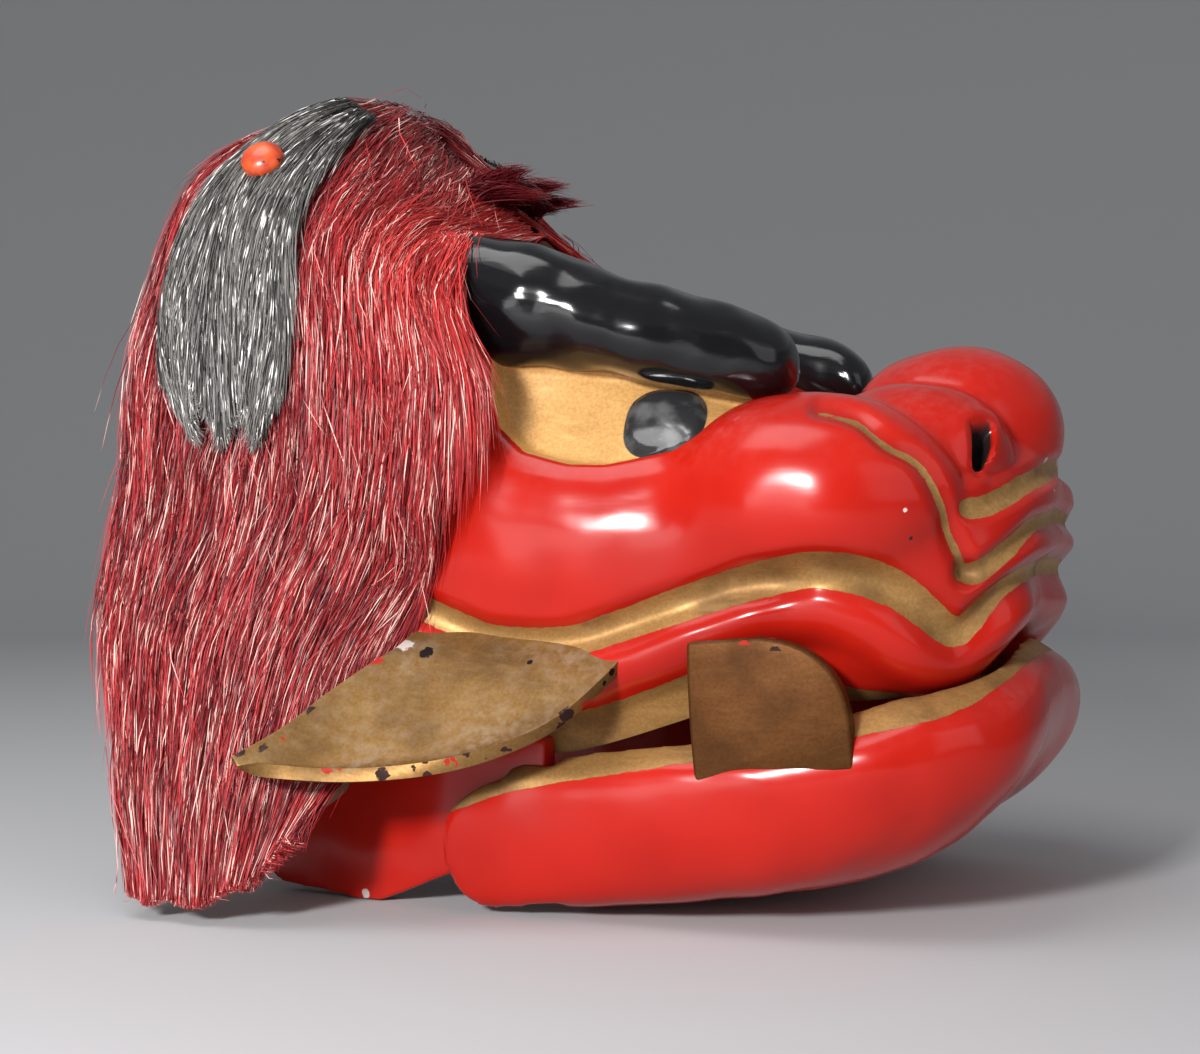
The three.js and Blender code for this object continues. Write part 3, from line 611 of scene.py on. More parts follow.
def paint_field(piece: Piece, name: str, values: Array) -> None:
    """Keeps one number for each of a piece's vertices, for a finish to read by name."""
    layer = piece.data.attributes.get(name) or piece.data.attributes.new(name, "FLOAT", "POINT")
    layer.data.foreach_set("value", np.asarray(values, np.float32))


def paint_plain_red(piece: Piece) -> None:
    """Marks a piece as red lacquer all over, with no gilding, pupil or hollow.

    Args:
        piece: The piece.
    """
    zero = np.zeros(len(piece.data.vertices))
    for name in ("gilt", "pupil", "pit", "eye"):
        paint_field(piece, name, zero - FAR)
    for name in ("carved", "lining"):
        paint_field(piece, name, zero)


MARK_SEED = 3
MARK_WAVES = 9
MARK_LENGTHS = (17, 48)
MARK_PHASES = (0, 7)


def tool_marks(p: Array, depth: float) -> Array:
    """Soft uneven heights that hand carving leaves.

    Args:
        p: Points in millimetres.
        depth: Height of a single wave.

    Returns:
        One height for each point.
    """
    rng = np.random.default_rng(MARK_SEED)
    ways = unit(rng.standard_normal((MARK_WAVES, 3)))
    ways = ways * (2 * np.pi / rng.uniform(*MARK_LENGTHS, MARK_WAVES))[:, None]
    waves = np.sin(p @ ways.T + rng.uniform(*MARK_PHASES, MARK_WAVES))
    return depth * waves.sum(axis=-1) / math.sqrt(MARK_WAVES)


def dent(piece: Piece, depth: float) -> None:
    """Leaves tool marks on a finished piece.

    Args:
        piece: The piece.
        depth: Height of a single wave in millimetres.
    """
    p = points_mm(piece)
    moved = p + tool_marks(p, depth)[:, None] * vertex_values(piece, "normal")
    piece.data.vertices.foreach_set("co", to_frame(moved).astype(np.float32).ravel())
    piece.data.update()


HEAD_LEVELS = (
    Level(92, 76, 158, 4.0, 46, 57, 78, 78, 97),
    Level(92, 79, 161, 4.0, 52, 64, 85, 80, 100),
    Level(93, 84, 164, 4.0, 64, 71, 95, 83, 103),
    Level(95, 91, 171, 4.0, 82, 85, 108, 91, 110),
    Level(97, 93, 177, 4.0, 104, 100, 121, 101, 119),
    Level(98, 96, 182, 4.0, 126, 115, 134, 117, 130),
    Level(99, 97, 183, 3.9, 148, 132, 146, 133, 140),
    Level(99, 94, 183, 3.6, 172, 147, 157, 147, 150),
    Level(98, 86, 180, 3.2, 196, 160, 166, 157, 159),
    Level(96, 74, 176, 2.9, 220, 177, 174, 166, 169),
    Level(93, 62, 170, 2.7, 244, 194, 181, 174, 180),
    Level(85, 50, 161, 2.5, 269, 212, 190, 180, 190),
    Level(53, 32, 150, 2.2, 295, 226, 199, 184, 195),
    Level(0, 0, 140, 2.0, 302, 231, 204, 186, 196),
)
HEAD_SWELLS = {
    "nose bridge dip": Swell(100, 0, 186, 26, 50, 26, -5),
    "eye hollow": Swell(34, 90, 180, 66, 40, 28, -4),
    "rear cheek": Swell(10, 98, 132, 60, 40, 30, 2.5),
    "crown": Swell(-78, 0, 280, 55, 90, 60, 5),
}
HEAD_LOBES = {
    "nose dome": Swell(144, 0, 171, 39, 40, 32, 0.05),
    "nostril wing": Swell(136, 38, 161, 36, 29, 26, 0.05),
    "cheek bulge": Swell(106, 60, 146, 55, 41, 37, 0.14),
}


def drawn_line(*points: Triple) -> tuple[LinePoint, ...]:
    """A painted line through points given by place along, height and half width."""
    return tuple(LinePoint(*point) for point in points)


LIP_CHANNEL = drawn_line(
    (-60, 122, 4.4), (-32, 109, 4.6), (-14, 101.5, 4.7), (1, 97, 4.4), (28, 96.5, 5), (46, 101.5, 5.2),
    (69, 109.5, 5.6), (91, 116.7, 5.8), (111, 121.5, 5.8), (121, 122, 6.2), (133, 120, 6.4), (145, 115, 6),
    (154, 108.5, 5.4), (161, 103, 5), (167, 101, 5), (172, 104, 4.6), (182, 113.5, 3.4), (192, 118, 3.2),
    (205, 120, 3), (241, 121, 3),
)
CHEEK_LINE = drawn_line(
    (118, 176.6, 0.4), (131, 172.8, 0.9), (140, 164.6, 1.1), (149, 159, 1.3), (155, 148.5, 1.4),
    (161, 134, 1.4), (168, 121, 1.4),
)
LOWER_BAND = drawn_line(
    (167, 121, 3), (172, 121.5, 4), (185, 129.5, 3.6), (196, 135.5, 3), (206, 138, 2.7), (241, 140.5, 2.5),
)
UPPER_BAND = drawn_line(
    (168, 143, 3.6), (176, 144, 3.6), (190, 149, 3.3), (204, 153, 3.1), (241, 159, 3),
)


class Groove(NamedTuple):
    """A carved line: its drawn path, and the half width and depth of its carving."""

    path: tuple[LinePoint, ...]
    width: float
    depth: float


GROOVES = (
    Groove(LIP_CHANNEL, 10, 4.5),
    Groove(CHEEK_LINE, 6, 3),
    Groove(LOWER_BAND, 7, 3.5),
    Groove(UPPER_BAND, 6, 2.5),
)
EYE_LOWER = ((-7, 201), (-6, 183), (-1, 171.5), (10, 162), (28, 157.5), (41, 157.3), (65, 162.2), (74, 168))
EYE_FRONT = ((85, 180), (86, 187), (50, 197))
EYE_OUTLINE = np.array(EYE_LOWER + EYE_FRONT, float)
NOSTRIL_OUTLINE = np.array(((-3.8, 8.6), (4, 8.6), (4.2, 3), (1.6, -4.5), (-2.4, -9.6), (-3.6, -5)), float)


@dataclass
class HeadCarving:
    """The hollow head: its carved outside, the plain hollow and the two cheek plates."""

    rear: float = -112.0
    wall: float = 14.0
    front_wall: float = 18.0
    columns: int = 190
    rows: int = 170
    crowd: float = 0.78
    lining_columns: int = 95
    lining_rows: int = 85
    turn_x: float = 100.0
    turn_radius: float = 90.0
    lip_below: float = 14.0
    lip_width: float = 14.0
    lip_lift: float = 4.0
    lip_rear: Pair = (-30.0, 20.0)
    tool_depth: float = 0.35
    eye_depth: float = 6.5
    eye_slope: float = 5.0
    lid_width: float = 10.0
    lid_lift: float = 0.6
    eye_nearest: float = 50.0
    eye_rim: float = 1.2
    pupil_along: float = 56.5
    pupil_z: float = 176.6
    pupil_half: Pair = (14.4, 13.2)
    pupil_lift: float = 1.6
    pupil_dome: float = 2.4
    pupil_square: float = 2.6
    pupil_edge: Pair = (-0.5, 2.5)
    gum_line: tuple[Pair, ...] = ((96, 2.1), (120, 1.6), (150, 0.9), (162, -0.4))
    gum_height: float = 6.0
    nostril: Triple = (162.0, 49.0, 163.5)
    nostril_turn: float = 25.0
    nostril_depth: float = 11.0
    nostril_edge: Pair = (-0.3, 1.6)
    nostril_reach: float = 40.0
    wing_lift: float = 1.2
    wing_width: float = 3.5
    roof_from: float = 0.55
    crease_deg: float = 65.0
    plate_inner: float = 83.0
    plate_outer: float = 92.5
    plate_marks: float = 0.25
    plate_voxel: float = 1.2
    plate_rounds: int = 5
    lug_radius: float = 14.0
    heel_place: Pair = (-86.0, 15.0)
    heel_radius: float = 12.0

    @property
    def top(self) -> int:
        """The highest level number."""
        return len(HEAD_LEVELS) - 1

    def base(self, u: Array, row: Array) -> Array:
        """Points of the plain loft before it is carved."""
        return loft_points(HEAD_LEVELS, self.rear, u, row)

    def unrolled(self, p: Array) -> Array:
        """Places along the unrolled surface and their heights."""
        round_nose = self.turn_x + self.turn_radius * np.arctan2(p[:, 0] - self.turn_x, p[:, 1])
        return np.stack([np.where(p[:, 0] < self.turn_x, p[:, 0], round_nose), p[:, 2]], axis=-1)

    def push_out(self, p: Array) -> Array:
        """Moves points that lie inside a rounded lobe out to its surface.

        Args:
            p: Points with Y positive.

        Returns:
            The points, some of them moved.
        """
        for lobe in HEAD_LOBES.values():
            centre = np.array(lobe[:3])
            away = p - centre
            inside = np.linalg.norm(away / np.array(lobe[3:6]), axis=1)
            outer = 1 / np.maximum(inside, 1e-6)
            share = np.clip(0.5 + (1 - outer) / (2 * lobe.lift), 0, 1)
            factor = lerp(outer, 1, share) + lobe.lift * share * (1 - share)
            p = centre + away * factor[:, None]
        return p

    def nostril_inside(self, p: Array) -> Array:
        """Distance inside the nostril's slot, negative outside it.

        Args:
            p: Points with Y positive.

        Returns:
            One distance for each point.
        """
        turn = math.radians(self.nostril_turn)
        away = p - np.array(self.nostril)
        across = away @ np.array((math.cos(turn), -math.sin(turn), 0))
        depth = outline_depth(NOSTRIL_OUTLINE, np.stack([across, away[:, 2]], axis=-1))
        return np.where(np.linalg.norm(away, axis=1) < self.nostril_reach, depth, -self.nostril_reach)

    def outside(self, a: Array, b: Array) -> Grid:
        """Points of the carved outside with Y positive, and its painted fields.

        Args:
            a: Shares from the rear to the middle of the front.
            b: Shares from the mouth rim to the crown line.

        Returns:
            Points in millimetres, and the fields gilt, pupil, pit, carved, lining and eye.
        """
        u = a**self.crowd
        row = b * self.top
        p = self.base(u, row)
        middle = p[:, 1] == 0
        normal = surface_normals(self.base, u, row, self.top)
        lift = np.zeros(len(p))
        for swell in HEAD_SWELLS.values():
            reach = np.linalg.norm((p - np.array(swell[:3])) / np.array(swell[3:6]), axis=1)
            lift += swell.lift * bell(reach)
        p = self.push_out(p + lift[:, None] * normal)
        p = p + tool_marks(p, self.tool_depth)[:, None] * normal
        at = self.unrolled(p)
        carved = np.zeros(len(p))
        gilt = np.full(len(p), -FAR)
        for groove in GROOVES:
            distance, inside, below = line_reach(smooth_path(groove.path), at)
            carved -= groove.depth * bell(distance / groove.width)
            gilt = np.maximum(gilt, inside)
            if groove.path is LIP_CHANNEL:
                roll = np.where(below, bell((distance - self.lip_below) / self.lip_width), 0)
                carved += self.lip_lift * roll * smoothstep(p[:, 0], *self.lip_rear)
        eye = np.where(p[:, 1] > self.eye_nearest, outline_depth(EYE_OUTLINE, at), -FAR)
        carved -= self.eye_depth * smoothstep(eye, 0, self.eye_slope)
        carved += self.lid_lift * bell((eye + self.lid_width / 2) / self.lid_width)
        ring = np.abs(at - np.array((self.pupil_along, self.pupil_z))) / np.array(self.pupil_half)
        power = self.pupil_square
        pupil = (1 - (ring**power).sum(1) ** (1 / power)) * self.pupil_half[1]
        pupil = np.where(eye > -self.eye_slope, pupil, -FAR)
        carved += self.pupil_lift * smoothstep(pupil, *self.pupil_edge)
        carved += self.pupil_dome * (1 - (1 - np.clip(pupil / self.pupil_half[1], 0, 1)) ** 2)
        pit = self.nostril_inside(p)
        carved += self.wing_lift * bell((pit + self.wing_width - 1) / self.wing_width)
        carved -= self.nostril_depth * smoothstep(pit, *self.nostril_edge)
        p = p + carved[:, None] * normal
        gum = (np.interp(p[:, 0], *np.array(self.gum_line).T) - row) * self.gum_height
        p[middle, 1] = 0
        p[u == 0, 0] = self.rear
        gilt = np.maximum(gilt, np.maximum(eye - self.eye_rim, gum))
        fields = {"gilt": gilt, "pupil": pupil, "pit": pit, "carved": carved, "lining": 0 * row, "eye": eye}
        return p, fields

    def inside(self, a: Array, b: Array) -> Grid:
        """Points of the plain hollow with Y positive.

        Args:
            a: Shares from the rear to the middle of the front.
            b: Shares from the mouth rim to the crown.

        Returns:
            Points in millimetres, and the fields that mark the bare hollow.
        """
        row = b * self.top
        p = loft_points(HEAD_LEVELS, self.rear, a**self.crowd, row, self.wall, self.front_wall)
        p[:, 2] -= self.wall * smoothstep(b, self.roof_from, 1)
        fields = dict.fromkeys(("gilt", "pupil", "pit", "eye"), np.full(len(p), -FAR))
        return p, {**fields, "carved": np.zeros(len(p)), "lining": np.ones(len(p))}

    def plate_outline(self) -> Array:
        """Outline of a cheek plate in X and Z, with a rounded heel and a round lug at the hinge.

        Returns:
            Corners in order.
        """
        heel = arc(self.heel_place, -self.heel_radius, np.linspace(0, np.pi / 2, 6))
        lug = arc(HINGE_MM[[0, 2]], self.lug_radius, np.linspace(-0.75 * np.pi, 0, 9))
        return np.concatenate([((-98, 70),), heel, ((-60, 0), (-46, 0), (-16, 13)), lug, ((20, 62), (0, 70))])

    def build(self) -> list[Piece]:
        """Models the head and its plates.

        Returns:
            The head first, then the two plates.
        """
        head = Sculpture("head_carving")
        head.both_sides(self.outside, self.columns, self.rows)
        head.both_sides(self.inside, self.lining_columns, self.lining_rows)
        head.weld()
        head.bridge_open_edges()
        pieces = [head.piece(self.crease_deg)]
        for side in Side:
            plate = Sculpture(f"cheek_plate_{side.word}")
            plate.prism(self.plate_outline(), side.value * self.plate_inner, side.value * self.plate_outer)
            made = plate.piece()
            round_over(made, self.plate_voxel, self.plate_rounds)
            dent(made, self.plate_marks)
            paint_plain_red(made)
            pieces.append(made)
        return pieces


JAW_LEVELS = (
    Level(97, 58, 74, 3.2, 0, 0, 0, 0, 0),
    Level(99, 80, 132, 3.6, 3, 7, 10, 13, 20),
    Level(100, 91, 160, 4.0, 11, 17, 22, 27, 37),
    Level(101, 97, 178, 4.3, 22, 32, 38, 45, 60),
    Level(101, 99, 184, 4.4, 33, 47, 54, 61, 76),
    Level(100, 98, 182, 4.4, 42, 54, 63, 73, 87),
    Level(98, 94, 177, 4.4, 46, 58, 68, 78, 92),
    Level(90, 87, 170, 4.4, 50, 63, 74, 83, 97),
)
TROUGH_LEVELS = (
    Level(70, 60, 120, 3.0, 9, 14, 19, 24, 34),
    Level(86, 82, 162, 3.8, 24, 34, 40, 48, 62),
    Level(88, 85, 168, 4.4, 60, 75, 86, 97, 110),
)


@dataclass
class LowerJaw:
    """The snapping jaw: a carved trough with a round-ended arm outside each cheek plate."""

    rear: float = -27.0
    trough_rear: float = -47.0
    floor_rear: float = 24.0
    arm_inner: float = 93.0
    end_radius: float = 23.0
    columns: int = 90
    rows: int = 30
    voxel: float = 1.7
    rounds: int = 4
    tool_depth: float = 0.25
    block_front: float = 230.0
    block_half: float = 120.0
    block_top: float = 130.0
    arm_shoulder: float = 40.0
    bow_from: float = 110.0
    bow_reach: Pair = (60.0, 90.0)
    inner_face: Pair = (0.55, 0.8)
    rim_x: tuple[float, ...] = (-13, 7, 28, 76, 129, 155, 164, 172, 177)
    rim_z: tuple[float, ...] = (36, 43.5, 48.5, 57.5, 67.5, 74, 78, 85, 91.5)

    def closed_loft(self, name: str, levels: Sequence[Level], rear: float) -> Piece:
        """A loft closed across the middle, below, behind and above.

        Args:
            name: Name of the piece.
            levels: The loft's levels.
            rear: X of its rear edge.

        Returns:
            The closed solid.
        """
        last = len(levels) - 1
        solid = Sculpture(name)

        def skin(a: Array, b: Array) -> Grid:
            """Points of one half of the outside."""
            return loft_points(levels, rear, a, b * last), {}

        def across(points: Array, share: Array) -> Grid:
            """Points of a flat span between both sides."""
            return points * np.stack([np.ones_like(share), 2 * share - 1, np.ones_like(share)], axis=-1), {}

        solid.both_sides(skin, self.columns, self.rows)
        for row in (0, last):

            def lid(a: Array, b: Array, row: int = row) -> Grid:
                """Points of the lowest or the highest level's span."""
                return across(loft_points(levels, rear, a, row + 0 * a), b)

            solid.patch(lid, self.columns, 1)
        solid.patch(lambda a, b: across(loft_points(levels, rear, 0 * a, a * last), b), self.rows, 1)
        return solid.piece(None)

    def ends(self) -> Piece:
        """The block whose side outline rounds the rear ends of the arms.

        Returns:
            The block.
        """
        rounded = arc(HINGE_MM[[0, 2]], self.end_radius, np.linspace(np.pi / 2, 1.5 * np.pi, 24))
        front, top, below = self.block_front, self.block_top, -1
        corners = ((front, below), (front, top), (self.arm_shoulder, top))
        solid = Sculpture("jaw_ends")
        outline = np.concatenate([corners, rounded, ((HINGE_MM[0], below),)])
        solid.prism(outline, -self.block_half, self.block_half)
        return solid.piece()

    def behind_floor(self) -> Piece:
        """The open space between the arms.

        Returns:
            A block of that size.
        """
        (rear, below), (front, top) = (-60, -20), (self.floor_rear, 150)
        outline = np.array(((rear, below), (front, below), (front, top), (rear, top)), float)
        solid = Sculpture("jaw_gap")
        solid.prism(outline, -self.arm_inner, self.arm_inner)
        return solid.piece()

    def build(self) -> Piece:
        """Models the jaw and marks its gilt rim.

        Returns:
            The jaw.
        """
        jaw = self.closed_loft("jaw_carving", JAW_LEVELS, self.rear)
        carve(jaw, self.ends(), Cut.KEEP)
        carve(jaw, self.closed_loft("jaw_trough", TROUGH_LEVELS, self.trough_rear), Cut.REMOVE)
        carve(jaw, self.behind_floor(), Cut.REMOVE)
        round_over(jaw, self.voxel, self.rounds)
        p = points_mm(jaw)
        ahead = np.maximum(0, p[:, 0] - self.bow_from) / self.bow_reach[0]
        away = unit(np.stack([ahead, p[:, 1] / self.bow_reach[1], 0 * ahead], axis=-1))
        facing_in = -(vertex_values(jaw, "normal") * away).sum(axis=-1)
        inner = FAR * smoothstep(facing_in, *self.inner_face)
        paint_plain_red(jaw)
        paint_field(jaw, "gilt", p[:, 2] - np.interp(p[:, 0], self.rim_x, self.rim_z) - inner)
        dent(jaw, self.tool_depth)
        return jaw


BROW_STATIONS = (
    BrowStation(-50, 74, 226, 20, 16),
    BrowStation(-18, 74, 220.5, 23.5, 20),
    BrowStation(14, 71, 215.5, 21.5, 21),
    BrowStation(44, 65, 207.5, 18, 19),
    BrowStation(70, 59, 201, 17, 17),
    BrowStation(99, 51, 193, 15, 15),
)


@dataclass
class Brows:
    """Two fat lacquered brows with soft lumps."""

    lump: float = 0.014
    lumps: float = 3.5
    twist: float = 0.014
    pucker: float = 0.008
    tool_depth: float = 0.4
    blunt: float = 8.0
    bedded: float = 4.0
    square: float = 0.95
    around: int = 72
    along: int = 150

    def skin(self, a: Array, b: Array) -> Grid:
        """Points of one brow with Y positive.

        Args:
            a: Shares round the brow.
            b: Shares from its rear to its front.

        Returns:
            Points in millimetres and no fields.
        """
        row = b * (len(BROW_STATIONS) - 1)
        x, y, z, high, deep = (column(BROW_STATIONS, name, row) for name in BrowStation._fields)
        end = np.sqrt(np.maximum(0, 1 - np.abs(2 * b - 1) ** self.blunt))
        angle = 2 * np.pi * a
        lump = 1 + self.lump * np.sin(2 * np.pi * self.lumps * b)
        lump += self.twist * np.sin(9 * b + 2.3 + 2 * angle)
        lump += self.pucker * np.sin(31 * b + 3 * np.cos(angle))
        out, up = (np.sign(v) * np.abs(v) ** self.square for v in (np.cos(angle), np.sin(angle)))
        return np.stack([x, y + out * deep * lump * end, z + up * high * lump * end], axis=-1), {}

    def seat(self, brow: Piece, head: BVHTree, side: Side) -> None:
        """Draws the part of a brow that would reach into the head's hollow back into the wall.

        Args:
            brow: The brow.
            head: The head's faces.
            side: The brow's side.
        """
        outwards = Vector((0, side.value, 0))
        for vertex in brow.data.vertices:
            hit, normal, _, _ = head.ray_cast(vertex.co, outwards)
            if hit is not None and normal.dot(outwards) < 0:
                vertex.co = hit + outwards * self.bedded * MM
        brow.data.update()

    def build(self, head: Piece) -> dict[Side, Piece]:
        """Models both brows.

        Args:
            head: The head that they are set into.

        Returns:
            The brow of each side.
        """
        made = {}
        corners = [vertex.co for vertex in head.data.vertices]
        wall = BVHTree.FromPolygons(corners, [face.vertices for face in head.data.polygons])
        for side in Side:
            brow = Sculpture(f"brow_carving_{side.word}")
            brow.on_side(side, self.skin, self.around, self.along)
            made[side] = brow.piece(None)
            dent(made[side], self.tool_depth)
            self.seat(made[side], wall, side)
        return made


EAR_STATIONS = (
    EarStation(50, 84, 94, -32, 86, 102, 0),
    EarStation(46, 99, 84, -32, 100, 94, 3),
    EarStation(30, 114, 68, -40, 110, 87, 7),
    EarStation(2, 127, 57, -50, 124, 77, 8),
    EarStation(-32, 140, 53, -58, 138, 67, 5),
    EarStation(-66, 152, 55, -69, 152, 58, 0),
)


@dataclass
class Ears:
    """Two gilt leaf-shaped ears, dished on top."""

    thickness: float = 4.6
    bevel: float = 0.9
    crease_deg: float = 50.0
    across: int = 28
    along: int = 60

    def face(self, a: Array, b: Array) -> Grid:
        """Points of one ear's middle surface with Y positive.

        Args:
            a: Shares from its front edge to its rear edge.
            b: Shares from its root to its tip.

        Returns:
            Points in millimetres, and the distance from the edge.
        """
        row = b * (len(EAR_STATIONS) - 1)
        values = np.stack([column(EAR_STATIONS, name, row) for name in EarStation._fields], axis=-1)
        p = lerp(values[:, :3], values[:, 3:6], a[:, None])
        p[:, 2] -= values[:, 6] * (1 - (2 * a - 1) ** 2)
        width = np.linalg.norm(values[:, :3] - values[:, 3:6], axis=1)
        return p, {"edge": width * np.minimum(a, 1 - a)}

    def build(self) -> dict[Side, Piece]:
        """Models both ears.

        Returns:
            The ear of each side.
        """
        made = {}
        for side in Side:
            ear = Sculpture(f"ear_carving_{side.word}")
            ear.on_side(side, self.face, self.across, self.along)
            made[side] = ear.piece(None)
            thicken(made[side], self.thickness, 0.0)
            round_edges(made[side], self.bevel, self.crease_deg)
        return made


@dataclass
class Tusks:
    """Two flat gilt tusks that stand on the jaw outside the lip."""

    inner: float = 86.5
    thickness: float = 9.0
    x: float = 103.0
    turn: float = 6.0
    bevel: float = 1.4
    crease_deg: Pair = (30.0, 40.0)
    crown_z: float = 100.0
    curve_steps: int = 14

    def outline(self) -> Array:
        """Outline of a tusk in X and Z: a straight rear edge and a rounded front shoulder.

        Returns:
            Corners in order.
        """
        t = np.linspace(0, 1, self.curve_steps)[:, None]

        def curve(a: tuple, b: tuple, c: tuple) -> Array:
            """A quadratic curve from a to c pulled towards b."""
            return lerp(lerp(np.array(a), np.array(b), t), lerp(np.array(b), np.array(c), t), t)

        shoulder = curve((129.0, 72.0), (126.0, 99.0), (98.0, 100.0))
        heel = curve((74.0, 98.0), (74.0, 76.0), (77.0, 50.0))
        return np.concatenate([((130.0, 58.0),), shoulder, heel])

    def build(self) -> dict[Side, Piece]:
        """Models both tusks.

        Returns:
            The tusk of each side.
        """
        made = {}
        for side in Side:
            tusk = Sculpture(f"tusk_carving_{side.word}")
            tusk.prism(self.outline() - np.array((self.x, 0)), 0.0, side.value * self.thickness)
            tusk.move(-to_frame(np.zeros(3)))
            tusk.turn(Matrix.Rotation(math.radians(-side.value * self.turn), 3, "Z"))
            tusk.move(to_frame(np.array((self.x, side.value * self.inner, 0.0))))
            drawn_crease, worn_crease = self.crease_deg
            piece = tusk.piece(drawn_crease)
            round_edges(piece, self.bevel, worn_crease)
            paint_field(piece, "edge", self.crown_z - points_mm(piece)[:, 2])
            made[side] = piece
        return made


class TongueSection(NamedTuple):
    """A section across the tongue: its X, its half width and the heights of its top and its sole."""

    x: float
    half: float
    top: float
    sole: float


TONGUE_SECTIONS = (
    TongueSection(30.5, 33.5, 26, 14.1),
    TongueSection(60, 37.2, 36, 17.3),
    TongueSection(90, 40.5, 46.8, 23),
    TongueSection(120, 43.5, 57.9, 34.5),
    TongueSection(140, 39.5, 65.1, 45),
    TongueSection(150, 33, 68.6, 53),
    TongueSection(160, 23.5, 71.8, 60.8),
    TongueSection(163, 15, 72.6, 64),
)


@dataclass
class Tongue:
    """The tongue: a thick painted slab that lies in the jaw and rises to its tip."""

    round_sides: float = 3.0
    furrow: float = 2.0
    furrow_half: float = 0.12
    bevel: float = 2.2
    crease_deg: Pair = (35.0, 60.0)
    columns: int = 40
    rows: int = 60

    def face(self, a: Array, b: Array, height: float) -> Grid:
        """Points of the tongue's top or sole.

        Args:
            a: Shares across it.
            b: Shares from its root to its tip.
            height: 0 for the sole and 1 for the top.

        Returns:
            Points in millimetres and no fields.
        """
        row = b * (len(TONGUE_SECTIONS) - 1)
        x, half, top, sole = (column(TONGUE_SECTIONS, name, row) for name in TongueSection._fields)
        across = 2 * a - 1
        furrow = self.furrow * np.exp(-((across / self.furrow_half) ** 2))
        shaped = top - self.round_sides * np.abs(across) ** 3 - furrow
        return np.stack([x, half * across, lerp(sole, shaped, height)], axis=-1), {}

    def build(self) -> Piece:
        """Models the tongue between its top and its sole.

        Returns:
            The tongue.
        """
        tongue = Sculpture("tongue_carving")
        for height in (0.0, 1.0):
            tongue.patch(lambda a, b, height=height: self.face(a, b, height), self.columns, self.rows)
        tongue.weld()
        tongue.bridge_open_edges()
        drawn_crease, worn_crease = self.crease_deg
        piece = tongue.piece(drawn_crease)
        round_edges(piece, self.bevel, worn_crease)
        return piece


HIDE_SECTIONS = (
    HideSection(0, -26, -124, 254, 302, 20),
    HideSection(50, -24, -126, 241, 294, 20),
    HideSection(92, -26, -134, 224, 262, 8),
    HideSection(102, -12, -144, 186, 206, 0),
    HideSection(104, -16, -148, 136, 150, 0),
    HideSection(114, -36, -152, 90, 96, 0),
    HideSection(132, -46, -136, 42, 46, 0),
    HideSection(148, -56, -118, 2.5, 3, 0),
)
HIDE_LAST = len(HIDE_SECTIONS) - 1
CREST_BACK = 1.4
ROW_STEP = 0.05
ACROSS_STEP = 0.02
LOW_SHARE = 0.9
LOW_ROWS = (4.3, 5.6)
REAR_STRIP = (0.62, 0.92)
UPPER_ROWS = (2.2, 3.2)


def hide_points(row: Array, across: Array) -> Array:
    """Points of the hide with Y positive, from row 0 on the crown line to the last by the floor.

    Args:
        row: Fractional section numbers.
        across: Shares from the front edge to the rear edge.

    Returns:
        Points in carving millimetres.
    """
    y, front_x, rear_x, front_z, rear_z, swell = (
        column(HIDE_SECTIONS, name, row) for name in HideSection._fields
    )
    rise = swell * np.sin(np.pi * np.clip(across, 0, 1) ** CREST_BACK)
    return np.stack(
        [lerp(front_x, rear_x, across), np.maximum(0, y), lerp(front_z, rear_z, across) + rise], axis=-1
    )


def hide_normals(row: Array, across: Array) -> Array:
    """Outward normals of the hide with Y positive.

    Args:
        row: Fractional section numbers.
        across: Shares from the front edge to the rear edge.

    Returns:
        One unit normal for each place.
    """
    above = hide_points(np.maximum(0, row - ROW_STEP), across)
    below = hide_points(np.minimum(HIDE_LAST, row + ROW_STEP), across)
    ahead = hide_points(row, np.maximum(0, across - ACROSS_STEP))
    behind = hide_points(row, np.minimum(1, across + ACROSS_STEP))
    normal = unit(np.cross(behind - ahead, below - above))
    return np.where((normal[..., 1] + normal[..., 2] < 0)[..., None], -normal, normal)


def rear_share(row: Array) -> Array:
    """How far towards its drawn rear edge the hide reaches, which is less near the floor."""
    return lerp(1.0, LOW_SHARE, smoothstep(row, *LOW_ROWS))


def rear_flat(row: Array, across: Array, least: float) -> Array:
    """How loosely hair lies, which is only the least share along the hide's upper rear edge."""
    upper = smoothstep(-row, -UPPER_ROWS[1], -UPPER_ROWS[0])
    return lerp(1.0, least, smoothstep(across, *REAR_STRIP) * upper)


BEYOND_EAR = (-72, 160, 56)
EAR_REAR = np.array([BEYOND_EAR] + [station[3:6] for station in EAR_STATIONS[:0:-1]], float)


def tuck_behind_ears(p: Array, clearance: float = 5.0, reach: float = 45.0) -> Array:
    """Presses hair in where an ear lies over it.

    Args:
        p: Points with Y positive.
        clearance: How far behind the ear's rear edge the hair stays.
        reach: How far above and below the ear the hair is pressed.

    Returns:
        The points, with Y lowered beside the ear.
    """
    x, y, z = EAR_REAR.T
    limit = np.interp(p[..., 0], x, y) - clearance
    near = bell((p[..., 2] - np.interp(p[..., 0], x, z)) / reach) * (p[..., 0] > x[0])
    pressed = p.copy()
    pressed[..., 1] = lerp(p[..., 1], np.minimum(p[..., 1], limit), np.sqrt(near))
    return pressed


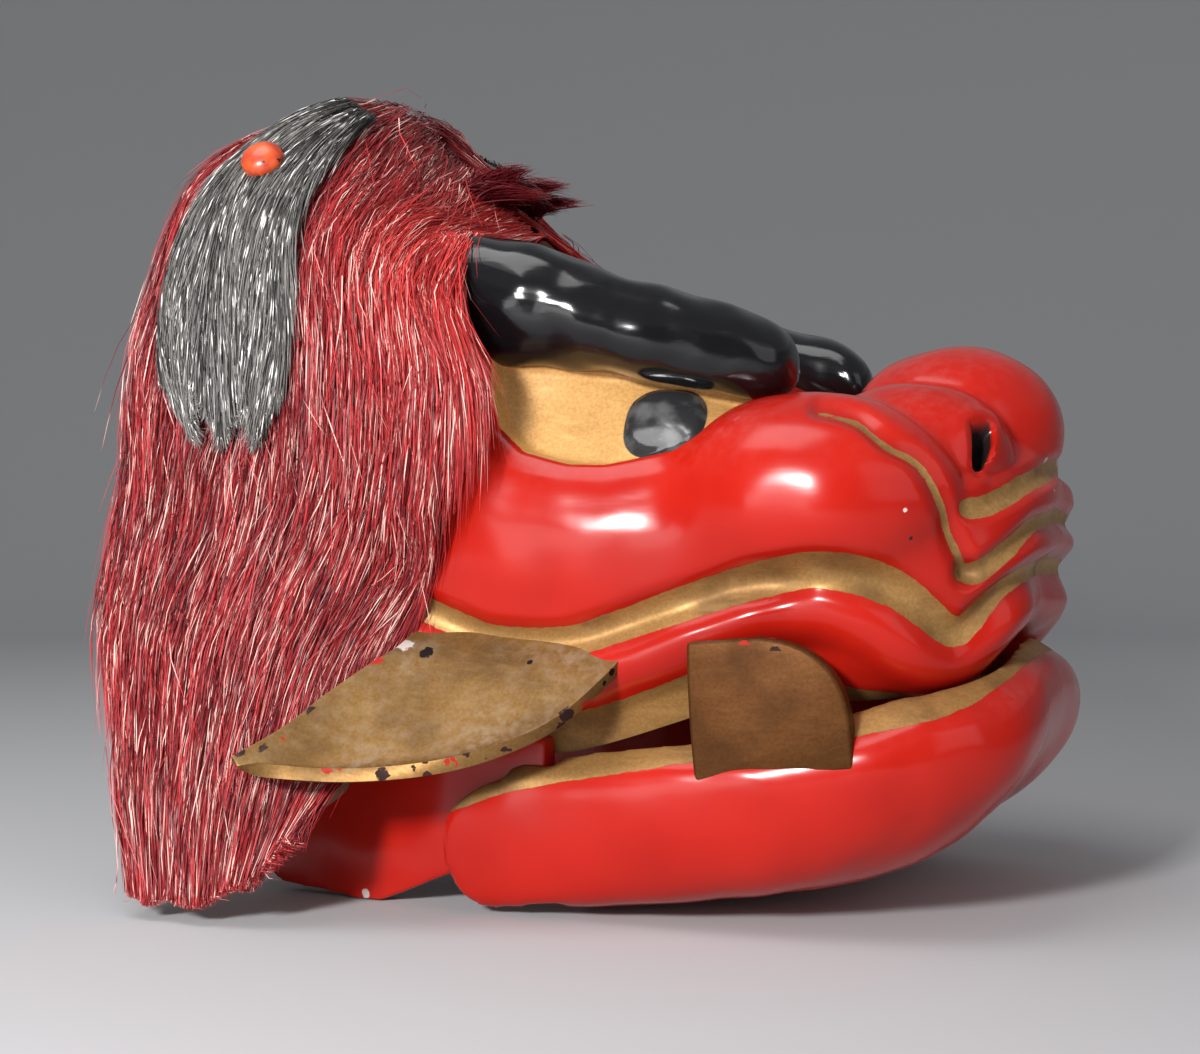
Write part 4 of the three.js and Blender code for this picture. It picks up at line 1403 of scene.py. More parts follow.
def lay_over_brows(p: Array, clearance: float = 1.07, front: float = 14.0) -> Array:
    """Pushes hair out of the rear end of a brow, so that it falls over it.

    Args:
        p: Points with Y positive.
        clearance: How far outside the brow the hair lies, as a share of the brow's half size.
        front: X up to which hair is pushed.

    Returns:
        The points, with those inside the brow moved out to its face.
    """
    place, *others = np.array(BROW_STATIONS).T
    numbers = np.arange(len(place))
    row = np.interp(p[..., 0], place, numbers)
    y, z, high, deep = (np.interp(row, numbers, values) for values in others)
    out = (p[..., 1] - y) / deep
    up = (p[..., 2] - z) / high
    reach = np.maximum(np.hypot(out, up), 0.05)
    near = smoothstep(p[..., 0], place[0] - 4, place[0] + 12) * (p[..., 0] < front)
    factor = lerp(1.0, np.maximum(1.0, clearance / reach), near)
    return np.stack([p[..., 0], y + out * factor * deep, z + up * factor * high], axis=-1)


@dataclass
class Hide:
    """The leather of the hide, and the short hair that covers it under the long locks."""

    end_row: float = 6.6
    front_rise: float = 0.7
    thickness: float = 3.5
    crease_deg: float = 60.0
    rows: int = 150
    columns: int = 50
    ripple: float = 1.0
    ear_room: float = 10.0

    def sheet(self, a: Array, b: Array) -> Grid:
        """Points of the hide's outer face across both sides.

        Args:
            a: Shares from the right end over the crown to the left end.
            b: Shares from the front edge to the rear edge.

        Returns:
            Points in millimetres, and a tone for the short hair.
        """
        way = 2 * a - 1
        row = np.abs(way) * (self.end_row - self.front_rise * (1 - b) ** 4)
        b = b * rear_share(row)
        ripple = self.ripple * np.sin(21 * b + 2.2 * np.sin(1.7 * row) + 1.3 * np.sign(way))
        p = hide_points(row, b) + ripple[:, None] * hide_normals(row, b)
        p = tuck_behind_ears(p, self.ear_room)
        p[:, 1] = np.where(way == 0, 0, p[:, 1]) * np.sign(way)
        return p, {"tone": 0.2 + 0.1 * np.sin(40 * b + 5 * row), "strand": 0.5 + 0 * b, "bloom": 0 * b}

    def build(self, hair: Material, leather: Material) -> Piece:
        """Models the hide.

        Args:
            hair: Finish of its outer face.
            leather: Finish of its inner face and its edges.

        Returns:
            The hide.
        """
        hide = Sculpture("hide_leather")
        hide.patch(self.sheet, self.rows, self.columns)
        piece = hide.piece(None)
        piece.data.materials.append(hair)
        piece.data.materials.append(leather)
        thicken(piece, self.thickness, -1.0, back_slot=1)
        settle_modifiers(piece)
        soften(piece, self.crease_deg)
        return piece


def ribbons(
    name: str, paths: Array, outward: Array, widths: Array, rolls: Array, fields: dict[str, Array]
) -> Piece:
    """Joins many thin hairs into one mesh.

    Args:
        name: Name of the piece.
        paths: Points of each hair in millimetres, as hairs by points by 3.
        outward: Directions away from the hide at those points.
        widths: Full width at those points.
        rolls: How far each hair's face is rolled about its length, in radians.
        fields: Values at those points for the finish to read.

    Returns:
        The joined hairs.
    """
    hairs, steps = paths.shape[:2]
    tangent = unit(np.gradient(paths, axis=1))
    side = unit(np.cross(tangent, outward))
    lifted = np.cross(side, tangent)
    face = np.cos(rolls)[:, None, None] * side + np.sin(rolls)[:, None, None] * lifted
    half = face * widths[..., None] / 2
    corners = to_frame(np.stack([paths - half, paths + half], axis=2).reshape(-1, 3))
    data = bpy.data.meshes.new(name)
    data.vertices.add(len(corners))
    data.vertices.foreach_set("co", corners.astype(np.float32).ravel())
    first = (np.arange(hairs)[:, None] * steps + np.arange(steps - 1)) * 2
    loops = np.stack([first, first + 2, first + 3, first + 1], axis=-1).reshape(-1)
    data.loops.add(len(loops))
    data.loops.foreach_set("vertex_index", loops.astype(np.int32))
    data.polygons.add(len(loops) // 4)
    data.polygons.foreach_set("loop_start", np.arange(0, len(loops), 4, dtype=np.int32))
    data.update(calc_edges=True)
    made = bpy.data.objects.new(name, data)
    bpy.context.scene.collection.objects.link(made)
    soften(made, None)
    for field_name, values in fields.items():
        paint_field(made, field_name, np.repeat(values.reshape(-1), 2))
    return made


PATCH_ROWS = (0.95, 3.6)
PATCH_MIDDLE = (0.6, 0.655)
PATCH_HALF = (0.06, 0.16)
PATCH_BOW = 0.07
PATCH_BULGE = 0.125
PATCH_CAP = 0.3
TAPER = 0.85


def patch_span(row: Array) -> tuple[Array, Array]:
    """Middle and half width of the pinned scrap across the hide.

    Args:
        row: Fractional section numbers.

    Returns:
        Both as shares across the hide.
    """
    way = np.clip((row - PATCH_ROWS[0]) / (PATCH_ROWS[1] - PATCH_ROWS[0]), 0, 1)
    hump = np.sin(np.pi * way)
    return lerp(*PATCH_MIDDLE, way) + PATCH_BOW * hump, lerp(*PATCH_HALF, way) + PATCH_BULGE * hump


def patch_depth(row: Array, across: Array) -> Array:
    """How far places lie inside the pinned scrap.

    Args:
        row: Fractional section numbers.
        across: Shares from the hide's front edge to its rear edge.

    Returns:
        Shares across the hide, negative outside the scrap.
    """
    middle, half = patch_span(row)
    beyond = np.maximum(PATCH_ROWS[0] - PATCH_CAP - row, row - PATCH_ROWS[1])
    return np.minimum(half - np.abs(across - middle), -beyond)


def cell_chance(row: Array, across: Array) -> Array:
    """An even chance between 0 and 1 for each clump of hair, by its cell."""
    wave = 43758.5453 * np.sin(12.9898 * row + 78.233 * across)
    return wave - np.floor(wave)


@dataclass
class Fur:
    """Long dyed hair combed down both sides of the hide."""

    layer: str = "mane_hair"
    hairs: int = 32000
    steps: int = 4
    length: Pair = (26.0, 58.0)
    width: Pair = (0.22, 0.46)
    lift: Pair = (0.5, 7.5)
    roll_deg: float = 62.0
    clump_rows: float = 3.2
    clump_columns: float = 19.0
    pull: float = 0.22
    strays: float = 0.05
    brow_cover: float = 0.12
    brow_rows: Pair = (2.1, 1.4)
    last_root: float = 6.6
    margin: float = 0.02
    bed: float = 2.0
    arch: float = 2.2
    tip_drop: float = 1.5
    fuzz: float = 0.8
    crest_flat: float = 0.25
    crest_strip: Pair = (0.46, 0.6)
    crest_rows: Pair = (0.6, 1.7)
    patch_flat: float = 0.4
    patch_soft: float = 0.1
    rear_least: float = 0.15
    floor_flat: float = 0.35
    hem: float = 0.05
    hem_chance: float = 0.06
    front_hem: float = 0.6
    pile: float = 0.002
    root_crowd: float = 0.94
    wave: float = 0.016
    wander: float = 0.012
    parting: float = 0.13
    parting_middle: float = 0.4
    parting_half: float = 0.36
    parting_rows: Pair = (0.6, 1.9)
    stray_drift: float = 0.06
    stray_lift: float = 3.0
    root_tone: float = 0.15
    tip_gain: float = 0.5
    clump_tone: float = 0.2
    strand_tone: float = 0.12
    painted_light_strip: Pair = (0.45, 1.0)
    painted_light_last: float = 4.2
    painted_light_fade: float = 3.0
    seed: int = 11

    @property
    def share(self) -> Array:
        """Shares along a hair, in one row."""
        return np.linspace(0, 1, self.steps)[None, :]

    def lay(self, rng: Chance, row: Array, across: Array, base: Array) -> tuple[Array, Array]:
        """Lifts combed hairs off the hide.

        Args:
            rng: Source of seeded chance.
            row: Section numbers along each hair.
            across: Shares across the hide along each hair.
            base: How far each hair lies above the hide.

        Returns:
            Points and outward directions with Y positive.
        """
        crest = lerp(self.crest_flat, 1.0, smoothstep(across, *self.crest_strip))
        level = lerp(crest, 1.0, smoothstep(row, *self.crest_rows))
        pinned = smoothstep(patch_depth(row, across), -self.patch_soft, self.patch_soft)
        level = level * lerp(1.0, self.patch_flat, pinned)
        near_floor = lerp(1.0, self.floor_flat, smoothstep(row, HIDE_LAST - 1, HIDE_LAST))
        level = level * rear_flat(row, across, self.rear_least) * near_floor
        lift = base[:, None] + self.arch * np.sin(np.pi * self.share**0.8) - self.tip_drop * self.share
        lift = self.bed + lift * level + self.fuzz * rng.standard_normal((len(base), 1)) * self.share
        outward = hide_normals(row, across)
        p = hide_points(row, across) + lift[..., None] * outward
        return lay_over_brows(tuck_behind_ears(p)), outward

    def rows_along(self, rng: Chance, root_row: Array, root_across: Array, length: Array) -> Array:
        """Section numbers along hairs of given lengths, which stop short of the floor.

        Args:
            rng: Source of seeded chance.
            root_row: Section number of each root.
            root_across: Share across the hide of each root.
            length: Length of each hair.

        Returns:
            Section numbers, as hairs by points.
        """
        ahead = hide_points(np.minimum(root_row + 0.5, HIDE_LAST), root_across)
        per_row = np.linalg.norm(ahead - hide_points(root_row, root_across), axis=-1) * 2 + 1
        row = root_row[:, None] + (length / per_row)[:, None] * self.share
        ragged = self.hem * np.sin(23 * root_across + 1.3 * np.sin(7 * root_across))
        end = HIDE_LAST - self.hem - ragged - self.front_hem * (1 - np.clip(root_across, 0, 1)) ** 4
        end = (end - self.hem_chance * rng.random(len(root_row)))[:, None]
        return np.minimum(row, end - self.pile * np.maximum(0, row - end))

    def strands(self, side: Side, rng: Chance, laid: tuple[Array, Array], fields: dict[str, Array]) -> Piece:
        """Joins laid hairs into the mesh of one side.

        Args:
            side: The side.
            rng: Source of seeded chance.
            laid: Points and outward directions with Y positive.
            fields: Values along the hairs for the finish to read.

        Returns:
            The hair of that side.
        """
        widths = rng.uniform(*self.width, self.hairs)[:, None] * (1 - TAPER * self.share**2)
        rolls = np.radians(self.roll_deg) * rng.uniform(-1, 1, self.hairs)
        fields["strand"] = np.repeat(rng.random(self.hairs)[:, None], self.steps, axis=1)
        points, outward = (values * side.mirror for values in laid)
        return ribbons(f"{self.layer}_{side.word}", points, outward * side.value, widths, rolls, fields)

    def build(self, side: Side) -> Piece:
        """Models the long hair of one side.

        Args:
            side: The side.

        Returns:
            The hair of that side.
        """
        rng = np.random.default_rng(self.seed + side.value)
        share = self.share
        root_row = self.last_root * rng.random(self.hairs) ** self.root_crowd
        brow_row, brow_reach = self.brow_rows
        front = -self.margin - self.brow_cover * bell((root_row - brow_row) / brow_reach)
        root_across = lerp(front, 1 + self.margin, rng.random(self.hairs)) * rear_share(root_row)
        cell_row = np.floor(root_row * self.clump_rows)
        shift = 0.5 * (cell_row % 2)
        cell_across = np.floor(root_across * self.clump_columns + shift)
        chance = cell_chance(cell_row, cell_across)
        middle = (cell_across + 0.5 - shift) / self.clump_columns
        row = self.rows_along(rng, root_row, root_across, rng.uniform(*self.length, self.hairs))
        drift = self.wave * np.sin(1.9 * root_row + 6 * chance)
        drift = drift + self.wander * rng.standard_normal(self.hairs)
        near_parting = bell((root_across - self.parting_middle) / self.parting_half)
        upper, lower = self.parting_rows
        drift = drift - self.parting * near_parting * smoothstep(-root_row, -lower, -upper)
        pulled = self.pull * (middle - root_across)
        stray = (rng.random(self.hairs) < self.strays) * rng.standard_normal(self.hairs)
        across = root_across[:, None] + drift[:, None] * share + pulled[:, None] * share**1.5
        across = across + self.stray_drift * stray[:, None] * share**1.3
        base = rng.uniform(*self.lift, self.hairs) * (0.75 + 0.5 * chance) + self.stray_lift * np.abs(stray)
        tone = self.root_tone + self.tip_gain * share + self.clump_tone * (chance - 0.5)[:, None]
        tone = tone + self.strand_tone * rng.standard_normal((self.hairs, 1))
        # A brighter strip along the front of the upper mane, fading downwards: painted light where the light
        # falls on it.
        bloom = smoothstep(1 - root_across, *self.painted_light_strip)
        bloom = bloom * smoothstep(self.painted_light_last - root_row, 0.0, self.painted_light_fade)
        fields = {"tone": tone, "bloom": np.repeat(bloom[:, None], self.steps, axis=1)}
        return self.strands(side, rng, self.lay(rng, row, across, base), fields)


@dataclass
class DarkPatch(Fur):
    """A scrap of grey black hide pinned over the mane on each side, narrow above and ragged below."""

    layer: str = "patch_hair"
    hairs: int = 9000
    length: Pair = (16.0, 40.0)
    width: Pair = (0.25, 0.6)
    lift: Pair = (10.5, 13.0)
    rear_least: float = 0.35
    skin_lift: float = 10.0
    skin_thickness: float = 1.2
    skin_grid: tuple[int, int] = (60, 80)
    crease_deg: float = 60.0
    points: float = 3.0
    notch: float = 0.34
    fringe: float = 0.1
    middle_across: float = 0.66
    fuzz: float = 0.6
    seed: int = 31

    def end(self, place: Array) -> Array:
        """Section number where the scrap ends, by the place across it from -1 to 1."""
        tooth = np.abs(((place + 1) / 2 * self.points) % 1 - 0.5) * 2
        return PATCH_ROWS[1] - self.notch * tooth - 0.05 * np.abs(np.sin(31 * place))

    def skin(self, side: Side) -> Piece:
        """Models the scrap's skin on one side.

        Args:
            side: The side.

        Returns:
            The skin.
        """
        scrap = Sculpture(f"patch_skin_{side.word}")

        def sheet(a: Array, b: Array) -> Grid:
            """Points of the skin."""
            place = 2 * a - 1
            row = lerp(PATCH_ROWS[0], self.end(place), b)
            middle, half = patch_span(row)
            across = middle + place * half
            lift = self.skin_lift * rear_flat(row, across, self.rear_least)
            p = hide_points(row, across) + lift[:, None] * hide_normals(row, across)
            return p, {"tone": 0.3 + 0 * a, "strand": 0.5 + 0 * a, "bloom": 0 * a}

        scrap.on_side(side, sheet, *self.skin_grid)
        piece = scrap.piece(None)
        thicken(piece, self.skin_thickness, -1.0)
        settle_modifiers(piece)
        soften(piece, self.crease_deg)
        return piece

    def build(self, side: Side) -> Piece:
        """Models the scrap's hair on one side.

        Args:
            side: The side.

        Returns:
            The scrap's hair.
        """
        rng = np.random.default_rng(self.seed + side.value)
        share = self.share
        place = rng.uniform(-1, 1, self.hairs)
        end = self.end(place)
        root_row = lerp(PATCH_ROWS[0], end - self.fringe, rng.random(self.hairs) ** 0.9)
        length = rng.uniform(*self.length, self.hairs)
        row = self.rows_along(rng, root_row, self.middle_across + 0 * place, length)
        row = np.minimum(row, end[:, None] + self.fringe * rng.random((self.hairs, 1)) * share)
        middle, half = patch_span(row)
        drift = 0.02 * np.sin(6 * place + 2 * root_row) + 0.014 * rng.standard_normal(self.hairs)
        across = middle + place[:, None] * half + drift[:, None] * share
        outward = hide_normals(row, across)
        above = rng.uniform(*self.lift, self.hairs)[:, None] - self.skin_lift
        lift = self.skin_lift * rear_flat(row, across, self.rear_least) + above
        lift = lift + self.fuzz * rng.standard_normal((self.hairs, 1)) * share
        fields = {"tone": share + 0.25 * rng.standard_normal((self.hairs, 1)), "bloom": np.zeros_like(row)}
        p = hide_points(row, across) + lift[..., None] * outward
        return self.strands(side, rng, (p, outward), fields)


@dataclass
class Forelock:
    """Ragged tufts of the hide's front edge that stand out over the forehead."""

    tufts: int = 12
    hairs: int = 190
    steps: int = 6
    spread: float = 28.0
    root_across: float = 0.24
    reach: Pair = (15.0, 30.0)
    rise: Pair = (-0.25, 0.35)
    sideways: Pair = (-0.35, 0.35)
    jitter: Pair = (-4.0, 4.0)
    root_size: Triple = (10.0, 7.0, 4.0)
    tip_size: Triple = (3.0, 1.0, 1.0)
    sag: Pair = (0.0, 5.0)
    width: Pair = (0.35, 0.75)
    shaded_tip_tone: float = 0.16
    seed: int = 5

    def build(self) -> Piece:
        """Models the tufts.

        Returns:
            Their joined hairs.
        """
        rng = np.random.default_rng(self.seed)
        share = np.linspace(0, 1, self.steps)[None, :, None]
        paths = []
        for tuft in range(self.tufts):
            y = lerp(-self.spread, self.spread, (tuft + 0.5) / self.tufts) + rng.uniform(*self.jitter)
            row = np.abs(y) / HIDE_SECTIONS[1].y
            root = hide_points(np.array([row]), np.array([self.root_across]))[0]
            root = root * np.array((1, np.sign(y), 1))
            way = unit(np.array((1.0, rng.uniform(*self.sideways), rng.uniform(*self.rise))))
            tip = root + way * rng.uniform(*self.reach)
            roots = root + rng.uniform(-1, 1, (self.hairs, 3)) * np.array(self.root_size)
            tips = tip + rng.standard_normal((self.hairs, 3)) * np.array(self.tip_size)
            sag = np.array((0, 0, 1.0)) * rng.uniform(*self.sag, (self.hairs, 1))
            paths.append(lerp(roots[:, None], tips[:, None], share) + sag[:, None] * np.sin(np.pi * share))
        lines = np.concatenate(paths)
        count = len(lines)
        outward = np.broadcast_to(np.array((0.0, 0.0, 1.0)), lines.shape)
        widths = rng.uniform(*self.width, (count, 1)) * (1 - TAPER * share[:, :, 0] ** 2)
        strand = np.repeat(rng.random((count, 1)), self.steps, axis=1)
        # Tones stay low, so the tufts keep nearly the root colour: painted shade for tufts that lie in shade
        # on the far side.
        tone = self.shaded_tip_tone * share[:, :, 0] + 0 * strand
        fields = {"tone": tone, "strand": strand, "bloom": 0 * strand}
        return ribbons("forelock_hair", lines, outward, widths, rng.uniform(-1, 1, count), fields)


@dataclass
class Tacks:
    """Two painted tacks that pin the dark scraps."""

    row: float = 1.8
    across: float = 0.68
    seat: float = 13.0
    radius: float = 8.2
    height: float = 5.0
    skirt: tuple[Pair, ...] = ((0.0, -1.2), (0.86, -1.2), (0.98, -0.6))
    dome_steps: int = 9
    sides: int = 40
    crease_deg: float = 50.0

    def build(self) -> dict[Side, Piece]:
        """Models both tacks.

        Returns:
            The tack of each side.
        """
        made = {}
        at = (np.array([self.row]), np.array([self.across]))
        normal = hide_normals(*at)[0]
        seat = hide_points(*at)[0] + self.seat * normal
        dome = [(math.cos(t), math.sin(t)) for t in np.linspace(0, math.pi / 2, self.dome_steps)]
        profile = [(r * self.radius * MM, h * self.height * MM) for r, h in [*self.skirt, *dome]]
        for side in Side:
            tack = Sculpture(f"tack_head_{side.word}")
            tack.spin(profile, self.sides)
            tack.turn(Vector(normal * side.mirror).to_track_quat("Z", "Y").to_matrix())
            tack.move(to_frame(seat * side.mirror))
            made[side] = tack.piece(self.crease_deg)
        return made


class Board:
    """Lays shader nodes in one tree and joins their sockets."""

    def __init__(self, tree: bpy.types.NodeTree) -> None:
        """Starts on a tree."""
        self.tree = tree

    def put(self, kind: str, feeds: dict[str | int, Any] | None = None, **settings: Any) -> bpy.types.Node:
        """Adds a node.

        Args:
            kind: The node's type.
            feeds: A value or another node's socket for each named input.
            settings: The node's own options.

        Returns:
            The node.
        """
        node = self.tree.nodes.new(kind)
        for name, value in settings.items():
            setattr(node, name, value)
        for name, value in (feeds or {}).items():
            self.feed(node.inputs[name], value)
        return node

    def feed(self, socket: Socket, value: Any) -> None:
        """Feeds one input.

        Args:
            socket: The input.
            value: A value or another node's socket.
        """
        if isinstance(value, Socket):
            self.tree.links.new(value, socket)
        else:
            socket.default_value = value

    def math(self, operation: str, *values: Any) -> Socket:
        """The result of one sum on values or sockets."""
        return self.put("ShaderNodeMath", dict(enumerate(values)), operation=operation).outputs[0]

    def times(self, value: Any, factor: Any) -> Socket:
        """The product of two values or sockets."""
        return self.math("MULTIPLY", value, factor)

    def plus(self, value: Any, more: Any) -> Socket:
        """The sum of two values or sockets."""
        return self.math("ADD", value, more)

    def noise(self, place: Any, scale: float, detail: float = 2.0, warp: float = 0.0) -> Socket:
        """Soft noise between 0 and 1."""
        feeds = {"Vector": place, "Scale": scale, "Detail": detail, "Distortion": warp}
        return self.put("ShaderNodeTexNoise", feeds).outputs["Fac"]

    def step(self, value: Any, low: Any, high: Any) -> Socket:
        """Smooth share from 0 at low to 1 at high."""
        feeds = {"Value": value, "From Min": low, "From Max": high}
        return self.put("ShaderNodeMapRange", feeds, interpolation_type="SMOOTHSTEP").outputs[0]

    def tint(self, share: Any, under: Any, over: Any) -> Socket:
        """One colour over another by a share."""
        return self.put("ShaderNodeMix", {0: share, 6: under, 7: over}, data_type="RGBA").outputs[2]

    def blend(self, share: Any, under: Any, over: Any) -> Socket:
        """One number over another by a share."""
        return self.put("ShaderNodeMix", {0: share, 2: under, 3: over}).outputs[0]

    def painted(self, name: str) -> Socket:
        """A field that the piece carries."""
        return self.put("ShaderNodeAttribute", attribute_name=name).outputs["Fac"]

    def stretched(self, place: Any, scale: Sequence[float], turn: Sequence[float]) -> Socket:
        """Places turned and stretched along the axes."""
        return self.put("ShaderNodeMapping", {"Vector": place, "Scale": scale, "Rotation": turn}).outputs[0]


class Effect:
    """A shader node group that several finishes share."""

    made: dict[str, bpy.types.NodeTree] = {}

    def __init__(self, name: str, inputs: dict[str, float | None], outputs: dict[str, str]) -> None:
        """Starts a group.

        Args:
            name: The group's name.
            inputs: A default for each input, or None where it is a place.
            outputs: The socket type of each output.
        """
        self.tree = bpy.data.node_groups.new(name, "ShaderNodeTree")
        for title, value in inputs.items():
            kind = "NodeSocketVector" if value is None else "NodeSocketFloat"
            socket = self.tree.interface.new_socket(title, in_out="INPUT", socket_type=kind)
            if value is not None:
                socket.default_value = value
        for title, kind in outputs.items():
            self.tree.interface.new_socket(title, in_out="OUTPUT", socket_type=kind)
        self.board = Board(self.tree)
        self.inlet = self.board.put("NodeGroupInput").outputs
        self.outlet = self.board.put("NodeGroupOutput").inputs
        Effect.made[name] = self.tree

    def give(self, name: str, value: Socket) -> None:
        """Sends a value out of the group."""
        self.tree.links.new(value, self.outlet[name])


def brushed_relief() -> None:
    """Heights of hand-laid lacquer in millimetres: slow waves and brush drag."""
    inputs = {"Place": None, "Waves": 0.25, "Drag": 0.03}
    effect = Effect("brushed relief", inputs, {"Height": "NodeSocketFloat"})
    board, place = effect.board, effect.inlet["Place"]
    waves = board.times(board.noise(place, 48.0, 1.0), effect.inlet["Waves"])
    streaks = board.noise(board.stretched(place, (60, 420, 420), (0.0, 0.12, 0.0)), 1.0, 1.0)
    drag = board.times(streaks, effect.inlet["Drag"])
    effect.give("Height", board.plus(waves, drag))


def hair_scratches() -> None:
    """A mask of thin scattered scratches."""
    effect = Effect("hair scratches", {"Place": None, "Share": 0.5}, {"Mask": "NodeSocketFloat"})
    board, place = effect.board, effect.inlet["Place"]
    here = board.step(board.noise(place, 34.0, 1.0), 0.6, 0.68)
    lines = []
    for scale, turn in (((9, 55, 55), (0.3, 0.5, 0.2)), ((45, 8, 45), (1.1, 0.7, 0.9))):
        level = board.math("SUBTRACT", board.noise(board.stretched(place, scale, turn), 1.0, 0.0), 0.5)
        lines.append(board.step(board.math("ABSOLUTE", level), 0.0032, 0.0008))
    both = board.times(board.math("MAXIMUM", *lines), here)
    effect.give("Mask", board.times(both, effect.inlet["Share"]))


def flaked_chips() -> None:
    """A mask of small ragged flakes, more of them where the share is high."""
    inputs = {"Place": None, "Scale": 120.0, "Share": 0.1, "Size": 0.28}
    effect = Effect("flaked chips", inputs, {"Mask": "NodeSocketFloat", "Tone": "NodeSocketFloat"})
    board, place = effect.board, effect.inlet["Place"]
    feeds = {"Vector": place, "Scale": 420.0, "Detail": 3.0}
    ragged = board.put("ShaderNodeTexNoise", feeds).outputs["Color"]
    shift = board.put("ShaderNodeVectorMath", {0: ragged, "Scale": 0.004}, operation="SCALE").outputs[0]
    moved = board.put("ShaderNodeVectorMath", {0: place, 1: shift}, operation="ADD").outputs[0]
    cells = board.put("ShaderNodeTexVoronoi", {"Vector": moved, "Scale": effect.inlet["Scale"]})
    chance = board.put("ShaderNodeSeparateColor", {0: cells.outputs["Color"]})
    chosen = board.math("LESS_THAN", chance.outputs[0], effect.inlet["Share"])
    size = board.times(effect.inlet["Size"], board.plus(chance.outputs[1], 0.35))
    rim = board.plus(size, 0.06)
    flake = board.step(cells.outputs["Distance"], rim, size)
    effect.give("Mask", board.times(flake, chosen))
    effect.give("Tone", chance.outputs[2])


def settled_dust() -> None:
    """A mask of grey dust that lies on faces turned upwards."""
    inputs = {"Place": None, "Facing": None, "Share": 0.3}
    effect = Effect("settled dust", inputs, {"Mask": "NodeSocketFloat"})
    board, place = effect.board, effect.inlet["Place"]
    up = board.put("ShaderNodeSeparateXYZ", {0: effect.inlet["Facing"]}).outputs[2]
    grain = board.noise(place, 260.0, 5.0)
    cloud = board.noise(place, 28.0, 3.0)
    lies = board.times(board.step(up, 0.1, 0.95), board.step(cloud, 0.3, 0.75))
    speck = board.times(lies, board.step(grain, 0.35, 0.7))
    effect.give("Mask", board.times(speck, effect.inlet["Share"]))


BRASS_DARK = (0.36, 0.18, 0.05, 1)
BRASS_LIGHT = (0.56, 0.31, 0.105, 1)
BRASS_TARNISH = (0.15, 0.075, 0.03, 1)
BRASS_STREAK = (0.66, 0.42, 0.17, 1)


def gold_paint() -> None:
    """Dull grainy brass paint: its colour, roughness and height in millimetres."""
    outputs = {"Colour": "NodeSocketColor", "Roughness": "NodeSocketFloat", "Height": "NodeSocketFloat"}
    effect = Effect("gold paint", {"Place": None, "Tarnish": 0.5, "Shade": 1.0}, outputs)
    board, place = effect.board, effect.inlet["Place"]
    grain = board.noise(place, 900.0, 2.0)
    cloud = board.noise(place, 42.0, 3.0)
    strokes = board.noise(board.stretched(place, (70, 300, 300), (0.0, 0.25, 0.1)), 1.0, 2.0)
    bright = board.tint(board.step(grain, 0.0, 1.0), BRASS_DARK, BRASS_LIGHT)
    worn = board.times(board.step(cloud, 0.42, 0.7), effect.inlet["Tarnish"])
    dull = board.tint(worn, bright, BRASS_TARNISH)
    streaks = board.times(board.step(strokes, 0.5, 0.8), 0.3)
    feeds = {0: board.tint(streaks, dull, BRASS_STREAK), "Scale": effect.inlet["Shade"]}
    shaded = board.put("ShaderNodeVectorMath", feeds, operation="SCALE")
    effect.give("Colour", shaded.outputs[0])
    effect.give("Roughness", board.blend(board.step(cloud, 0.3, 0.8), 0.42, 0.62))
    fine = board.times(grain, 0.03)
    effect.give("Height", board.plus(fine, board.times(strokes, 0.07)))


@dataclass(frozen=True)
class Blemish:
    """A single chip seen on the real head: its middle and half size in millimetres, and its colour."""

    x: float
    y: float
    z: float
    size: float
    colour: Colour


PALE = (0.62, 0.55, 0.5, 1)
DARK = (0.015, 0.01, 0.01, 1)
LACQUER_CHIPS = (
    Blemish(146.3, -87.2, 142, 1.0, PALE),
    Blemish(147.1, -82.6, 132.9, 0.9, DARK),
    Blemish(183.1, -20.5, 149.4, 0.7, PALE),
    Blemish(179.5, 9, 177.5, 1.6, PALE),
    Blemish(-53, -92.5, 2, 2.6, PALE),
)
EAR_CHIPS = (
    Blemish(-31, -102.6, 95, 4.5, PALE),
    Blemish(-22, -102.9, 92, 3.6, DARK),
    Blemish(17, -97.9, 89.6, 1.5, DARK),
    Blemish(47.5, -96.7, 87.1, 2.0, DARK),
    Blemish(45.5, -99, 83.5, 1.6, DARK),
)


